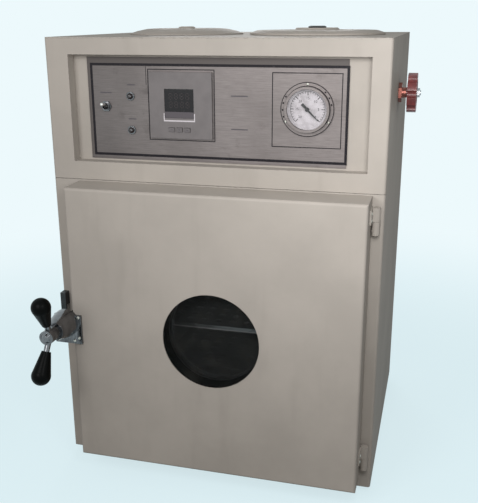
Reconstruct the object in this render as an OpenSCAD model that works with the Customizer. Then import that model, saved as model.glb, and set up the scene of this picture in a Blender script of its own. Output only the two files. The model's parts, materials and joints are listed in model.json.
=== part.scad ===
// Bench vacuum drying oven: a sheet-steel cabinet round a horizontal drum chamber, with a
// hinged door, a two-arm latch, a recessed control panel, a side vacuum valve and roof vents.
// Inner modules use the cabinet's own frame: X right, Y from the front plane into the depth,
// Z up from the cabinet's base. in_cabinet() puts that frame over the middle of the footprint.

/* [Cabinet] */
// Width of the cabinet
cab_w = 507; // [490:1:540]
// Depth of the cabinet from its front plane to its rear face
cab_d = 420; // [410:1:460]
// Height of the cabinet without its feet
cab_h = 680; // [670:1:720]
// Thickness of the sheet steel
sheet = 1.5; // [1:0.1:2]
// Outer radius of the bends at the front corners
bend_r = 4; // [3:0.5:6]
// Depth of the folded sides of the two front covers
fold_d = 16; // [12:1:24]
// Height of the seam above the base, in 68ths of the cabinet's height
seam_share = 47; // [46:0.25:48]
// Width of the gap at a seam between two covers
seam_gap = 0.6; // [0.4:0.1:1]
// Height of a rubber foot
foot_h = 12; // [8:1:20]
// Radius of a rubber foot
foot_r = 17; // [12:1:20]
// Distance of each foot from the cabinet's sides
foot_inset = 62; // [40:1:90]

/* [Fascia and panel] */
// Left edge of the fascia's opening
open_x0 = -217; // [-222:1:-205]
// Right edge of the fascia's opening
open_x1 = 227; // [210:1:230]
// Height of the fascia's sill between the seam and its opening
sill_h = 28; // [22:0.5:34]
// Height of the fascia above its opening
head_h = 24.5; // [20:0.5:30]
// Depth of the recess behind the fascia
recess_d = 19; // [15:1:26]
// Width of the aluminium control panel
panel_w = 390; // [370:1:400]
// Gap between the control panel and the opening's lower edge
panel_gap_low = 3; // [2:0.5:6]
// Gap between the control panel and the opening's upper edge
panel_gap_high = 3.5; // [2:0.5:6]
// Thickness of the control panel
panel_t = 1.5; // [1:0.1:3]

/* [Instruments] */
// Place of the temperature controller's middle, left to right
controller_x = -48.5; // [-60:0.5:-40]
// Height of the temperature controller's middle above the panel's middle
controller_up = 7; // [0:0.5:10]
// Side of the controller's square bezel
controller_side = 96; // [72:1:98]
// Depth of the controller's housing behind the panel
controller_depth = 78; // [50:1:110]
// How far the controller's bezel stands off the panel
controller_bezel_t = 4.5; // [3:0.5:8]
// Place of the vacuum gauge's middle, left to right
gauge_x = 138; // [130:0.5:145]
// Height of the vacuum gauge's middle above the panel's middle
gauge_up = 6; // [0:0.5:10]
// Radius of the gauge's visible dial
dial_r = 28.5; // [24:0.5:31]
// Radius of the gauge's mounting flange
gauge_flange_r = 38; // [36:0.5:42]
// Depth of the gauge's case behind the panel
gauge_depth = 32; // [24:1:45]
// Width of a bezel ring round the gauge's dial
gauge_rim = 3.5; // [2:0.5:5]
// Height of the gauge's bezel in front of the panel
gauge_bezel_t = 8; // [6:0.5:10]
// Place of the mains switch, left to right
switch_x = -167; // [-172:0.5:-160]
// Height of the mains switch above the panel's middle
switch_up = 3.5; // [0:0.5:20]
// Angle of the switch lever to each side of level
switch_tilt = 12; // [8:1:18]
// Place of the pilot lamps, left to right
lamp_x = -127.5; // [-135:0.5:-120]
// Height of the upper pilot lamp above the panel's middle
lamp_up = 19; // [15:0.5:28]
// Spacing of the pilot lamps
lamp_pitch = 50; // [35:1:55]
// Radius of a pilot lamp's lens
lamp_r = 4.5; // [3:0.5:6]

/* [Chamber] */
// Inner radius of the chamber's drum
chamber_r = 150; // [140:1:155]
// Wall of the chamber's drum
drum_wall = 3; // [2:0.5:5]
// Depth of the drum behind its flange
drum_l = 320; // [280:1:325]
// Thickness of the drum's back plate
back_t = 6; // [4:0.5:10]
// Width of the flange ring outside the drum's inner radius
flange_w = 35; // [32:1:38]
// Thickness of the flange ring
flange_t = 12; // [10:0.5:16]
// How far the flange stands in front of the cabinet's front plane
flange_proud = 2; // [1:0.5:3]
// Depth of the gasket's groove
groove_d = 5; // [3:0.5:6]
// Width of the gasket's groove
groove_w = 10; // [7:0.5:12]
// How far the gasket stands out of its groove
gasket_proud = 3.5; // [2:0.5:4]
// Room between the insulation round the drum and the tray above it
jacket_room = 24.5; // [18:0.5:36]

/* [Shelves] */
// Height of the upper shelf below the chamber's axis
upper_drop = 19; // [10:1:30]
// Height of the lower shelf below the chamber's axis
lower_drop = 92; // [85:1:100]
// Thickness of a shelf
shelf_t = 1.5; // [1:0.1:3]
// Height of the shelf's front and rear lips
shelf_lip = 7; // [4:0.5:12]
// Distance of a shelf's front lip from the cabinet's front plane
shelf_y = 34; // [30:1:50]
// Depth of a shelf
shelf_d = 284; // [250:1:290]
// Width of a shelf rail's ledge
rail_w = 16; // [12:1:22]
// Radius of a shelf's perforations
perf_r = 6; // [4:0.5:8]
// Spacing of a shelf's perforations
perf_pitch = 24; // [20:1:30]

/* [Door] */
// Width of the cabinet's margin right of the door, for the hinges
hinge_margin = 17.5; // [15:0.5:20]
// Distance of the door's upper edge below the seam
door_drop = 2; // [1:0.5:4]
// Thickness of the door
door_t = 57; // [54:0.5:62]
// Height of the door's lower edge
door_z0 = 23; // [22:0.5:24]
// Width of the cabinet's margin left of the door
door_margin = 43.5; // [40:0.5:46]
// Gap between the closed door and the cabinet's front plane
door_gap = 1; // [0.5:0.1:2]
// Width of the lip turned in round the door's back
door_lip = 12; // [8:1:16]
// Radius of the door's round window
window_r = 74.5; // [65:0.5:80]
// Thickness of the door's steel pressure plate
plate_t = 8; // [6:0.5:12]
// Radius of the pressure plate
plate_r = 178; // [172:1:185]
// Thickness of the toughened inner glass
glass_t = 12; // [8:0.5:14]
// Thickness of the outer pane
pane_t = 4; // [3:0.5:6]
// Width of the seat under the inner glass's edge
glass_seat = 13; // [8:0.5:16]

/* [Hinges] */
// Radius of a hinge knuckle
knuckle_r = 5.5; // [5:0.5:6.5]
// Length of a hinge knuckle
knuckle_l = 20; // [16:1:34]
// Radius of a hinge pin
hinge_pin_r = 3; // [2.5:0.25:3.5]
// Distance of each hinge from the door's top or bottom edge
hinge_inset = 34; // [28:1:70]
// Thickness of a hinge's plates
hinge_t = 2.5; // [2:0.5:3]
// Distance of the hinge axis in front of the cabinet's front plane
hinge_off = 9; // [8.5:0.5:12]
// Gap between the door's side and a knuckle
hinge_gap = 1.5; // [1:0.1:2]

/* [Latch] */
// Height of the latch spindle above the door's middle
latch_up = 9; // [0:0.5:20]
// Distance of the spindle from the door's left edge
latch_out = 10.5; // [10:0.5:14]
// Radius of the spindle
spindle_r = 5; // [4:0.5:6]
// Distance of the handle's hub from the cabinet's front plane
hub_y = 110; // [105:1:120]
// Radius of the handle's hub
hub_r = 11; // [9:0.5:14]
// Length of each arm from the hub to the tip of its grip
arm_l = 75.5; // [65:0.5:85]
// Angle by which the arms sweep forward
arm_sweep = 26; // [10:1:30]
// Angle by which the arms lean clockwise when the latch is released
arm_lean = 5; // [0:1:10]
// Radius of an arm
arm_r = 4.5; // [3:0.5:6]
// Radius of a grip at its widest
grip_r = 14.5; // [10:0.5:16]
// Length of a grip
grip_l = 51; // [35:1:52]
// Length of the locking tongue from the spindle's axis
tongue_l = 30; // [25:1:31]
// Width of the locking tongue
tongue_w = 12; // [10:1:14]
// Thickness of the locking tongue
tongue_t = 6; // [4:0.5:8]
// Gap between the tongue and the keeper's lip
tongue_gap = 0.4; // [0.3:0.1:1]
// Thickness of the keeper's lip
keeper_t = 3; // [2.5:0.5:6]

/* [Vacuum line] */
// Distance of the valve from the cabinet's front plane
valve_y = 178; // [160:1:220]
// Height of the valve above the gauge's middle
valve_up = 11.5; // [0:0.5:20]
// Radius of the valve's handwheel
wheel_r = 30; // [24:0.5:34]
// Number of scallops round the handwheel
scallops = 8; // [6:1:10]
// Distance of the handwheel from the cabinet's side
wheel_off = 13.5; // [13:0.5:25]
// Thickness of the handwheel's rim
wheel_t = 15; // [9:0.5:16]
// Radius of the valve's spindle
valve_pin_r = 4; // [3:0.5:5]
// Outer radius of the vacuum pipes
pipe_r = 6; // [5:0.5:8]
// Distance of the pump nozzle below the panel's middle
nozzle_down = 36.5; // [30:0.5:50]
// Outer radius of the pump nozzle's hose end
nozzle_r = 6; // [5:0.5:8]
// Length of the pump nozzle's hose end
nozzle_l = 28; // [20:1:40]

/* [Roof vents] */
// Place of the left vent, left to right
left_vent_x = -102; // [-120:1:-100]
// Place of the right vent, left to right
right_vent_x = 118; // [100:1:130]
// Distance of the vents from the cabinet's front plane
vent_y = 210; // [180:1:240]
// Radius of the left vent's cap
left_vent_r = 94; // [80:1:96]
// Height of the left vent's cap
left_vent_h = 9; // [8:0.5:16]
// Radius of the right vent's cap
right_vent_r = 108; // [90:1:110]
// Height of the right vent's cap
right_vent_h = 10; // [8:0.5:14]
// Number of holes in each vent
vent_holes = 6; // [4:1:8]
// Radius of a vent hole
vent_hole_r = 7.5; // [5:0.5:8]
// Radius of the circle of vent holes
vent_ring_r = 46; // [44:1:48]

/* [Clearances] */
// Radial clearance of a running fit
run_fit = 0.05; // [0.02:0.01:0.08]
// Gap between pieces that only lie close
loose = 0.3; // [0.25:0.05:0.5]

/* [Hidden] */
$fn = 72;
paint = "#a8a399";
steel = "silver";
dark = "#2a2a2a";

// Cabinet edges
half_w = cab_w/2;
base_lip_h = fold_d + 4*sheet;
joggle = fold_d*5/8;
roof_z = cab_h - sheet;
rear_y = cab_d - sheet;
seam_z = cab_h*seam_share/68;
open_z0 = seam_z + sill_h;
open_z1 = cab_h - head_h;
tray_z = seam_z + 8;
panel_y = recess_d - panel_t;
panel_z0 = open_z0 + panel_gap_low;
panel_z1 = open_z1 - panel_gap_high;
panel_z = (panel_z0 + panel_z1)/2;

// Door edges, with the chamber centred behind the door
door_x0 = door_margin - half_w;
door_x1 = half_w - hinge_margin;
door_z1 = seam_z - door_drop;
chamber_x = (door_x0 + door_x1)/2;
chamber_z = (door_z0 + door_z1)/2;

// Chamber stations along Y
flange_y0 = -flange_proud;
flange_y1 = flange_y0 + flange_t;
drum_y1 = flange_y1 + drum_l;
back_y1 = drum_y1 + back_t;
drum_r = chamber_r + drum_wall;
flange_r = chamber_r + flange_w;
gasket_r = chamber_r + flange_w*0.43;
gasket_y = flange_y0 - gasket_proud;
heater_t = 3;
jacket_r0 = drum_r + heater_t + 8;
jacket_r1 = tray_z - chamber_z - jacket_room;
saddle_y = drum_y1 - 30;
saddle_t = 4;

// Door stations along Y, from the gasket outward
plate_y1 = gasket_y - loose;
plate_y0 = plate_y1 - plate_t;
glass_r = window_r + glass_seat;
glass_gap = 0.2;
glass_y0 = plate_y0 - glass_t - glass_gap;
ring_lip = 4;
ring_y0 = glass_y0 - ring_lip;
ring_r = glass_r + 17;
pane_y0 = -door_t + sheet;
pane_y1 = pane_y0 + pane_t;

// Hinge axis
hinge_x = door_x1 + hinge_gap + knuckle_r;
hinge_y = -hinge_off;
leaf_l = 26;
hinge_heights = [door_z0 + hinge_inset, door_z1 - hinge_inset];
knuckle_gap = 0.4;

// Latch stations
latch_x = door_x0 - latch_out;
latch_z = chamber_z + latch_up;
keeper_y1 = -10;
tongue_y0 = keeper_y1 + tongue_gap;
keeper_x0 = sheet - half_w;
keeper_x1 = keeper_x0 + 9;
keeper_z = [tongue_w/2 + 3, tongue_w/2 + 24];
housing_y0 = -hub_y + 14;

// Vacuum line stations
pipe_x = half_w - 28;
riser_x = pipe_x - 40;
port_reach = 0.53;
port_x = chamber_x + chamber_r*port_reach;
port_z = chamber_z + chamber_r*port_reach;
run_y = back_y1 + 22;
tee_y = valve_y + 120;
spindle_x1 = half_w + wheel_off + wheel_t + 5;
probe_x = chamber_x - chamber_r*0.4;
probe_z = chamber_z + chamber_r*0.45;

// Instruments
controller_z = panel_z + controller_up;
gauge_z = panel_z + gauge_up;
switch_z = panel_z + switch_up;
lamp_z = panel_z + lamp_up;
valve_z = gauge_z + valve_up;
nozzle_z = panel_z - nozzle_down;
gauge_case_r = dial_r + gauge_rim;
gauge_glass_t = 2;
gauge_dial_y = panel_y + 3;
display_x = [-controller_side*49/192, controller_side*41/192];
display_z = [-controller_side*3/16, controller_side/4];
key_w = controller_side*3/32;
key_h = controller_side/16;
key_z = -controller_side*35/96;
key_fit = 0.3;
key_depth = 3;
key_travel = 0.8;
key_proud = 1.4;
switch_bush_r = 6;
switch_pivot_y = panel_y + 3;

// Small parts of the chamber, the valve, the power side and the vents
relay_h = 58;
probe_r = 3;
rail_t = 2;
shelf_drops = [upper_drop, lower_drop];
valve_hole_r = 12;
valve_body_r = 14;
inlet_x = 63.5 - half_w;
inlet_z = 70;
inlet_w = 28;
inlet_h = 22;
stud_r = 3;
stud_l = 5;
knob_bore = stud_r + run_fit;
cap_wall = 1.2;

module in_cabinet() {
  translate([0, -cab_d/2, foot_h]) children();
}

module block(x, y, z) {
  translate([x[0], y[0], z[0]]) cube([x[1] - x[0], y[1] - y[0], z[1] - z[0]]);
}

// Cylinder of radius r along Y between two stations
module disc_y(r, y0, y1) {
  translate([0, y0, 0]) rotate([-90, 0, 0]) cylinder(r = r, h = y1 - y0);
}

// Cylinder of radius r along X between two stations
module disc_x(r, x0, x1) {
  translate([x0, 0, 0]) rotate([0, 90, 0]) cylinder(r = r, h = x1 - x0);
}

module ring_y(r_out, r_in, y0, y1) {
  difference() {
    disc_y(r_out, y0, y1);
    disc_y(r_in, y0 - 1, y1 + 1);
  }
}

// Round bar from point a to point b
module bar(a, b, r) {
  d = b - a;
  translate(a) rotate([0, acos(d.z/norm(d)), atan2(d.y, d.x)]) cylinder(r = r, h = norm(d));
}

// Pipe through a list of points with a round elbow at each inner one
module pipe_run(points, r) {
  for (i = [0 : len(points) - 2]) bar(points[i], points[i + 1], r);
  for (i = [1 : len(points) - 2]) translate(points[i]) sphere(r = r*1.3);
}

// Rectangle whose two front corners, at y = 0, are rounded
module front_outline(w, d, r) {
  translate([-w/2, r]) square([w, d - r]);
  translate([r - w/2, 0]) square([w - 2*r, r + 0.1]);
  for (side = [-1, 1]) translate([side*(w/2 - r), r]) circle(r = r);
}

// Front cover folded back at both sides
module folded_cover(z0, z1) {
  translate([0, 0, z0]) linear_extrude(z1 - z0) difference() {
    front_outline(cab_w, fold_d, bend_r);
    translate([0, sheet]) front_outline(cab_w - 2*sheet, fold_d, bend_r - sheet);
  }
}

// ---------------------------------------------------------------- casing

module base_pan() {
  inner = half_w - sheet - loose;
  color(paint) in_cabinet() {
    block([-inner, inner], [bend_r + loose, rear_y - loose], [0, sheet]);
    for (side = [-1, 1]) {
      x = side > 0 ? [inner - sheet, inner] : [-inner, sheet - inner];
      block(x, [fold_d, rear_y - 2*sheet], [0, base_lip_h]);
    }
    block([-inner, inner], [rear_y - loose - sheet, rear_y - loose], [0, base_lip_h]);
  }
}

module feet() {
  color(dark) in_cabinet()
    for (x = [foot_inset - half_w, half_w - foot_inset], y = [foot_inset, cab_d - foot_inset])
      translate([x, y, -foot_h]) difference() {
        cylinder(r1 = foot_r*0.85, r2 = foot_r, h = foot_h);
        translate([0, 0, -1]) cylinder(r = 5, h = foot_h*0.5 + 1);
      }
}

// Side sheet with a joggled strip behind the front covers and a rear return
module side_panel(side) {
  rear_return = fold_d*7/8;
  mirror([side < 0 ? 1 : 0, 0, 0]) {
    block([half_w - sheet, half_w], [fold_d + seam_gap, rear_y], [0, roof_z]);
    block([half_w - 2*sheet, half_w - sheet], [fold_d - joggle, fold_d + joggle],
          [base_lip_h + joggle/5, open_z0 - 4*sheet]);
    block([half_w - 2*sheet, half_w - sheet], [fold_d - joggle, fold_d + joggle],
          [open_z1 + 4*sheet, roof_z - 2*sheet]);
    block([half_w - rear_return, half_w - sheet/2], [rear_y - sheet, rear_y],
          [base_lip_h + 4*sheet, roof_z - 8*sheet]);
  }
}

module left_panel() {
  color(paint) in_cabinet() side_panel(-1);
}

module right_panel() {
  color(paint) in_cabinet() difference() {
    side_panel(1);
    translate([0, valve_y, valve_z]) disc_x(valve_hole_r, half_w - 10, half_w + 10);
  }
}

// Round holes in a circle, as in the roof and in each vent cap
module vent_hole_ring(turn, z0, z1) {
  for (i = [0 : vent_holes - 1]) rotate([0, 0, turn + i*360/vent_holes])
    translate([vent_ring_r, 0, z0]) cylinder(r = vent_hole_r, h = z1 - z0);
}

module roof_panel() {
  flange_h = 14;
  edge = half_w - sheet - loose;
  color(paint) in_cabinet() {
    difference() {
      translate([0, 0, roof_z]) linear_extrude(sheet) front_outline(cab_w, cab_d, bend_r);
      for (x = [left_vent_x, right_vent_x]) translate([x, vent_y, 0]) {
        vent_hole_ring(0, roof_z - 1, cab_h + 1);
        translate([0, 0, roof_z - 1]) cylinder(r = stud_r, h = sheet + 2);
      }
    }
    for (side = [-1, 1]) {
      x = side > 0 ? [edge - 2*sheet, edge - sheet] : [sheet - edge, 2*sheet - edge];
      block(x, [fold_d + 12, rear_y - 20], [roof_z - flange_h, roof_z]);
    }
  }
}

// Pressed louvre: a quarter-round hood over a slot
module louvre_hood(w, r) {
  difference() {
    disc_x(r, -w/2, w/2);
    disc_x(r - 1, -w/2 + 1, w/2 - 1);
    block([-w, w], [-2*r, 0], [-2*r, 2*r]);
    block([-w, w], [-2*r, 2*r], [-2*r, 0]);
  }
}

module rear_panel() {
  louvre_w = 90;
  louvre_r = 7;
  louvre_pitch = 16;
  louvre_rows = 7;
  louvre_x = [133.5 - half_w, half_w - 213.5];
  louvre_z = seam_z + 30;
  color(paint) in_cabinet() {
    difference() {
      block([-half_w, half_w], [rear_y, cab_d], [0, roof_z]);
      for (x = louvre_x, i = [0 : louvre_rows - 1])
        block([x - louvre_w/2 + 2, x + louvre_w/2 - 2], [rear_y - 1, cab_d + 1],
              [louvre_z + i*louvre_pitch, louvre_z + i*louvre_pitch + louvre_r - 2]);
      translate([pipe_x, 0, nozzle_z]) disc_y(nozzle_r + 2 + loose, rear_y - 1, cab_d + 1);
      translate([inlet_x, 0, inlet_z])
        block([-inlet_w/2 - loose, inlet_w/2 + loose], [rear_y - 1, cab_d + 1],
              [-inlet_h/2 - loose, inlet_h/2 + loose]);
    }
    for (x = louvre_x, i = [0 : louvre_rows - 1])
      translate([x, cab_d, louvre_z + i*louvre_pitch]) louvre_hood(louvre_w, louvre_r);
  }
}

module front_fascia() {
  color(paint) in_cabinet() {
    difference() {
      folded_cover(seam_z + seam_gap/2, roof_z);
      block([open_x0, open_x1], [-1, sheet + 1], [open_z0, open_z1]);
    }
    difference() {
      block([open_x0 - sheet, open_x1 + sheet], [sheet/2, recess_d],
            [open_z0 - sheet, open_z1 + sheet]);
      block([open_x0, open_x1], [0, recess_d + 1], [open_z0, open_z1]);
    }
  }
}

module lower_front() {
  color(paint) in_cabinet() difference() {
    folded_cover(0, seam_z - seam_gap/2);
    translate([chamber_x, 0, chamber_z]) disc_y(flange_r + loose, -1, sheet + 1);
  }
}

module partition_tray() {
  edge = half_w - sheet - loose;
  front_y = fold_d + joggle + 1;
  lip_h = 12;
  color(steel) in_cabinet() difference() {
    union() {
      block([-edge, edge], [front_y, rear_y - 2*sheet], [tray_z, tray_z + sheet]);
      block([-edge, edge], [front_y, front_y + sheet], [tray_z, tray_z + lip_h]);
      for (side = [-1, 1]) {
        x = side > 0 ? [edge - sheet, edge] : [-edge, sheet - edge];
        block(x, [front_y, rear_y - 2*sheet], [tray_z, tray_z + lip_h]);
      }
    }
    translate([riser_x, run_y, tray_z - 1]) cylinder(r = pipe_r + 2, h = sheet + 2);
  }
}

// ---------------------------------------------------------------- control panel

module panel_subframe() {
  border = 10;
  margin = 9;
  color(paint) in_cabinet() difference() {
    block([open_x0 - border, open_x1 + border], [recess_d, recess_d + sheet],
          [open_z0 - border, open_z1 + border]);
    block([margin - panel_w/2, panel_w/2 - margin], [recess_d - 1, recess_d + sheet + 1],
          [panel_z0 + margin, panel_z1 - margin]);
  }
}

module control_panel() {
  cut = controller_side/2 - 2;
  color("#9a96a0") in_cabinet() difference() {
    block([-panel_w/2, panel_w/2], [panel_y, recess_d], [panel_z0, panel_z1]);
    translate([controller_x, 0, controller_z])
      block([-cut, cut], [panel_y - 1, recess_d + 1], [-cut, cut]);
    translate([gauge_x, 0, gauge_z]) disc_y(gauge_case_r + loose, panel_y - 1, recess_d + 1);
    translate([switch_x, 0, switch_z]) disc_y(switch_bush_r, panel_y - 1, recess_d + 1);
    for (i = [0, 1]) translate([lamp_x, 0, lamp_z - i*lamp_pitch])
      disc_y(lamp_r, panel_y - 1, recess_d + 1);
  }
}

// Can behind the panel, its open front closed by the bezel and glass
module gauge_case() {
  wall = 1.5;
  color(dark) in_cabinet() translate([gauge_x, 0, gauge_z]) difference() {
    disc_y(gauge_case_r, panel_y, recess_d + gauge_depth);
    disc_y(gauge_case_r - wall, panel_y - 1, recess_d + gauge_depth - 12);
    translate([0, 0, valve_z - gauge_z]) disc_y(pipe_r, recess_d, recess_d + gauge_depth + 1);
  }
}

// Flange ring on the panel with the raised ring that holds the glass
module gauge_bezel() {
  flange_t = 2;
  color(steel) in_cabinet() translate([gauge_x, 0, gauge_z]) {
    ring_y(gauge_flange_r, gauge_case_r - 1.5, panel_y - flange_t, panel_y);
    ring_y(gauge_case_r, dial_r, panel_y - gauge_bezel_t, panel_y - flange_t);
  }
}

module gauge_dial() {
  color("white") in_cabinet() translate([gauge_x, 0, gauge_z])
    ring_y(gauge_case_r - 1.5, 1.5 + loose, gauge_dial_y, gauge_dial_y + 1);
}

module gauge_glass() {
  color("lightblue", 0.4) in_cabinet() translate([gauge_x, 0, gauge_z])
    disc_y(dial_r, panel_y - gauge_bezel_t + 1, panel_y - gauge_bezel_t + 1 + gauge_glass_t);
}

// Needle at rest towards half past four, with a broad tail
module gauge_pointer() {
  needle_l = dial_r*0.78;
  tail_l = dial_r*0.38;
  y0 = panel_y - 1.5;
  color(dark) in_cabinet() translate([gauge_x, 0, gauge_z]) {
    disc_y(3, y0 - 0.8, y0 + 0.8);
    disc_y(1.5, y0, gauge_dial_y + 4);
    translate([0, y0 + 0.4, 0]) rotate([90, 45, 0]) linear_extrude(0.8)
      polygon([[-tail_l, -2], [-tail_l, 2], [0, 1.4], [needle_l, 0.25], [needle_l, -0.25],
               [0, -1.4]]);
  }
}

// Housing behind the panel with a square bezel on its front
module controller_body() {
  half = controller_side/2;
  inner = half - 2 - loose;
  color("#8d8992") in_cabinet() translate([controller_x, 0, controller_z]) difference() {
    union() {
      block([-half, half], [panel_y - controller_bezel_t, panel_y], [-half, half]);
      block([-inner, inner], [panel_y, recess_d + controller_depth], [-inner, inner]);
    }
    block(display_x, [panel_y - controller_bezel_t - 1, panel_y - 1.5], display_z);
    for (i = [0 : 2]) translate([key_x(i), 0, key_z])
      block([-key_w/2 - key_fit, key_w/2 + key_fit],
            [panel_y - controller_bezel_t - 1, panel_y + key_depth],
            [-key_h/2 - key_fit, key_h/2 + key_fit]);
  }
}

function key_x(i) = controller_side*(i/8 - 7/48);

module controller_window() {
  y0 = panel_y - controller_bezel_t + 0.8;
  color("#151515") in_cabinet() translate([controller_x, 0, controller_z])
    block(display_x, [y0, panel_y - 1.5], display_z);
}

module controller_key(i) {
  color("#55525a") in_cabinet() translate([controller_x + key_x(i), 0, controller_z + key_z])
    block([-key_w/2, key_w/2],
          [panel_y - controller_bezel_t - key_proud, panel_y + key_depth - key_travel - loose],
          [-key_h/2, key_h/2]);
}

module controller_key_set() { controller_key(0); }
module controller_key_down() { controller_key(1); }
module controller_key_up() { controller_key(2); }

// Switch housing, threaded bush and hexagon nut
module switch_body() {
  bush_l = 5;
  color(steel) in_cabinet() translate([switch_x, 0, switch_z]) difference() {
    union() {
      block([-8, 8], [recess_d, recess_d + 26], [-12, 12]);
      disc_y(switch_bush_r, panel_y - bush_l, recess_d + 1);
      translate([0, panel_y - 2.2, 0]) rotate([-90, 0, 0]) cylinder(r = 8.5, h = 2.2, $fn = 6);
    }
    translate([0, panel_y + 2, 0]) rotate([90, 0, 0])
      cylinder(r1 = 3, r2 = 5.2, h = bush_l + 3);
    disc_y(3, panel_y, recess_d + 12);
    translate([0, switch_pivot_y, 0]) disc_x(1.25, -9, 9);
  }
}

// Bat-shaped lever tilted up at rest, with its cross pin
module switch_lever() {
  lever_l = 20;
  color("gainsboro") in_cabinet() translate([switch_x, switch_pivot_y, switch_z]) {
    rotate([-switch_tilt, 0, 0]) {
      rotate([90, 0, 0]) cylinder(r1 = 1.4, r2 = 2.4, h = lever_l);
      translate([0, -lever_l, 0]) sphere(r = 2.7);
      sphere(r = 2.2);
    }
    disc_x(1.2, -8, 8);
  }
}

module lamp_bezels() {
  color(steel) in_cabinet() for (i = [0, 1]) translate([lamp_x, 0, lamp_z - i*lamp_pitch])
    ring_y(lamp_r + 1.8, lamp_r, panel_y - 2, panel_y);
}

module lamp_lenses() {
  body_l = 16;
  color("#5a1512") in_cabinet() for (i = [0, 1]) translate([lamp_x, 0, lamp_z - i*lamp_pitch]) {
    disc_y(lamp_r, panel_y - 3, recess_d + body_l);
    difference() {
      translate([0, panel_y - 3, 0]) sphere(r = lamp_r);
      block([-10, 10], [panel_y - 3, panel_y + 10], [-10, 10]);
    }
  }
}

// ---------------------------------------------------------------- chamber

module chamber_flange() {
  color(steel) in_cabinet() translate([chamber_x, 0, chamber_z]) difference() {
    ring_y(flange_r, chamber_r, flange_y0, flange_y1);
    ring_y(gasket_r + groove_w/2, gasket_r - groove_w/2, flange_y0 - 1, flange_y0 + groove_d);
  }
}

module chamber_drum() {
  color(steel) in_cabinet() translate([chamber_x, 0, chamber_z])
    ring_y(drum_r, chamber_r, flange_y1, drum_y1);
}

module chamber_back() {
  color(steel) in_cabinet() difference() {
    translate([chamber_x, 0, chamber_z]) disc_y(drum_r, drum_y1, back_y1);
    translate([port_x, 0, port_z]) disc_y(pipe_r, drum_y1 - 1, back_y1 + 1);
    translate([probe_x, 0, probe_z]) disc_y(probe_r, drum_y1 - 1, back_y1 + 1);
  }
}

// Silicone ring with a rounded sealing bead
module door_gasket() {
  half = groove_w/2 - loose/2;
  bead = 3;
  depth = groove_d + gasket_proud;
  color("#b5443a") in_cabinet() translate([chamber_x, flange_y0 + groove_d, chamber_z])
    rotate([90, 0, 0]) rotate_extrude() translate([gasket_r, 0]) {
      translate([-half, 0]) square([2*half, depth - bead]);
      translate([0, depth - bead]) circle(r = bead);
    }
}

// Half the drum's inner width at a height below its axis
function half_chord(drop) = sqrt(pow(chamber_r - 0.1, 2) - drop*drop);

// Ledges along both sides of the drum under each shelf
module shelf_rails() {
  color(steel) in_cabinet() translate([chamber_x, 0, chamber_z])
    for (drop = shelf_drops, side = [-1, 1]) {
      reach = half_chord(drop);
      mirror([side < 0 ? 1 : 0, 0, 0]) intersection() {
        block([reach - rail_w, chamber_r], [flange_y1 + 6, drum_y1 - 4], [-drop - rail_t, -drop]);
        disc_y(chamber_r - 0.05, flange_y1, drum_y1);
      }
    }
}

module shelf(drop) {
  half = half_chord(drop + rail_t) - 6;
  cols = floor((half - perf_r - 6)/perf_pitch);
  rows = floor((shelf_d - 2*perf_r - 12)/perf_pitch);
  row_y0 = shelf_y + (shelf_d - (rows - 1)*perf_pitch)/2;
  color("#c9cbcc") in_cabinet() translate([chamber_x, 0, chamber_z - drop + loose]) {
    difference() {
      block([-half, half], [shelf_y, shelf_y + shelf_d], [0, shelf_t]);
      for (c = [-cols : cols], r = [0 : rows - 1])
        translate([c*perf_pitch, row_y0 + r*perf_pitch, -1]) cylinder(r = perf_r, h = shelf_t + 2);
    }
    for (y = [shelf_y, shelf_y + shelf_d - shelf_t])
      block([-half + 3, half - 3], [y, y + shelf_t], [0, shelf_lip]);
  }
}

module upper_shelf() { shelf(upper_drop); }
module lower_shelf() { shelf(lower_drop); }

// Upright plate on the base pan that carries the rear of the drum
module drum_saddle() {
  half = drum_r*0.8;
  top_z = chamber_z - drum_r*0.45;
  foot_d = 26;
  color(steel) in_cabinet() difference() {
    union() {
      block([chamber_x - half, chamber_x + half], [saddle_y, saddle_y + saddle_t],
            [sheet, top_z]);
      block([chamber_x - half, chamber_x + half], [saddle_y, saddle_y + foot_d],
            [sheet, sheet + saddle_t]);
    }
    translate([chamber_x, 0, chamber_z]) disc_y(drum_r + 0.02, saddle_y - 1, saddle_y + foot_d + 1);
    translate([chamber_x, 0, sheet + (chamber_z - drum_r)/2])
      disc_y((chamber_z - drum_r)*0.2, saddle_y - 1, saddle_y + saddle_t + 1);
  }
}

// Three clamped bands round the drum, with their clamp ears below
module band_heaters() {
  band_w = 48;
  band_pitch = 84;
  first_y = flange_y1 + 34;
  ear_h = 6;
  color("#8a7f70") in_cabinet() translate([chamber_x, 0, chamber_z])
    for (i = [0 : 2]) {
      y0 = first_y + i*band_pitch;
      difference() {
        union() {
          disc_y(drum_r + heater_t, y0, y0 + band_w);
          block([-9, 9], [y0 + 6, y0 + band_w - 6], [-drum_r - heater_t - ear_h, -drum_r]);
        }
        disc_y(drum_r + 0.02, y0 - 1, y0 + band_w + 1);
        block([-3, 3], [y0 - 1, y0 + band_w + 1], [-drum_r - heater_t - ear_h - 1, 0]);
      }
    }
}

// Two blanket rings before and behind the saddle, and a rear pad with holes
module insulation_jacket() {
  rear_t = 14;
  color("#d8cfa8") in_cabinet() difference() {
    translate([chamber_x, 0, chamber_z]) union() {
      ring_y(jacket_r1, jacket_r0, flange_y1 + 1, saddle_y - 1);
      ring_y(jacket_r1, drum_r + loose, saddle_y - 8, saddle_y - 1);
      difference() {
        disc_y(jacket_r1, saddle_y + 27, back_y1 + rear_t);
        disc_y(drum_r + loose, saddle_y + 26, back_y1 + loose);
      }
    }
    translate([port_x, 0, port_z]) disc_y(pipe_r + 2, back_y1 - 1, back_y1 + rear_t + 1);
    translate([probe_x, 0, probe_z]) disc_y(8, back_y1 - 1, back_y1 + rear_t + 1);
  }
}

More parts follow.
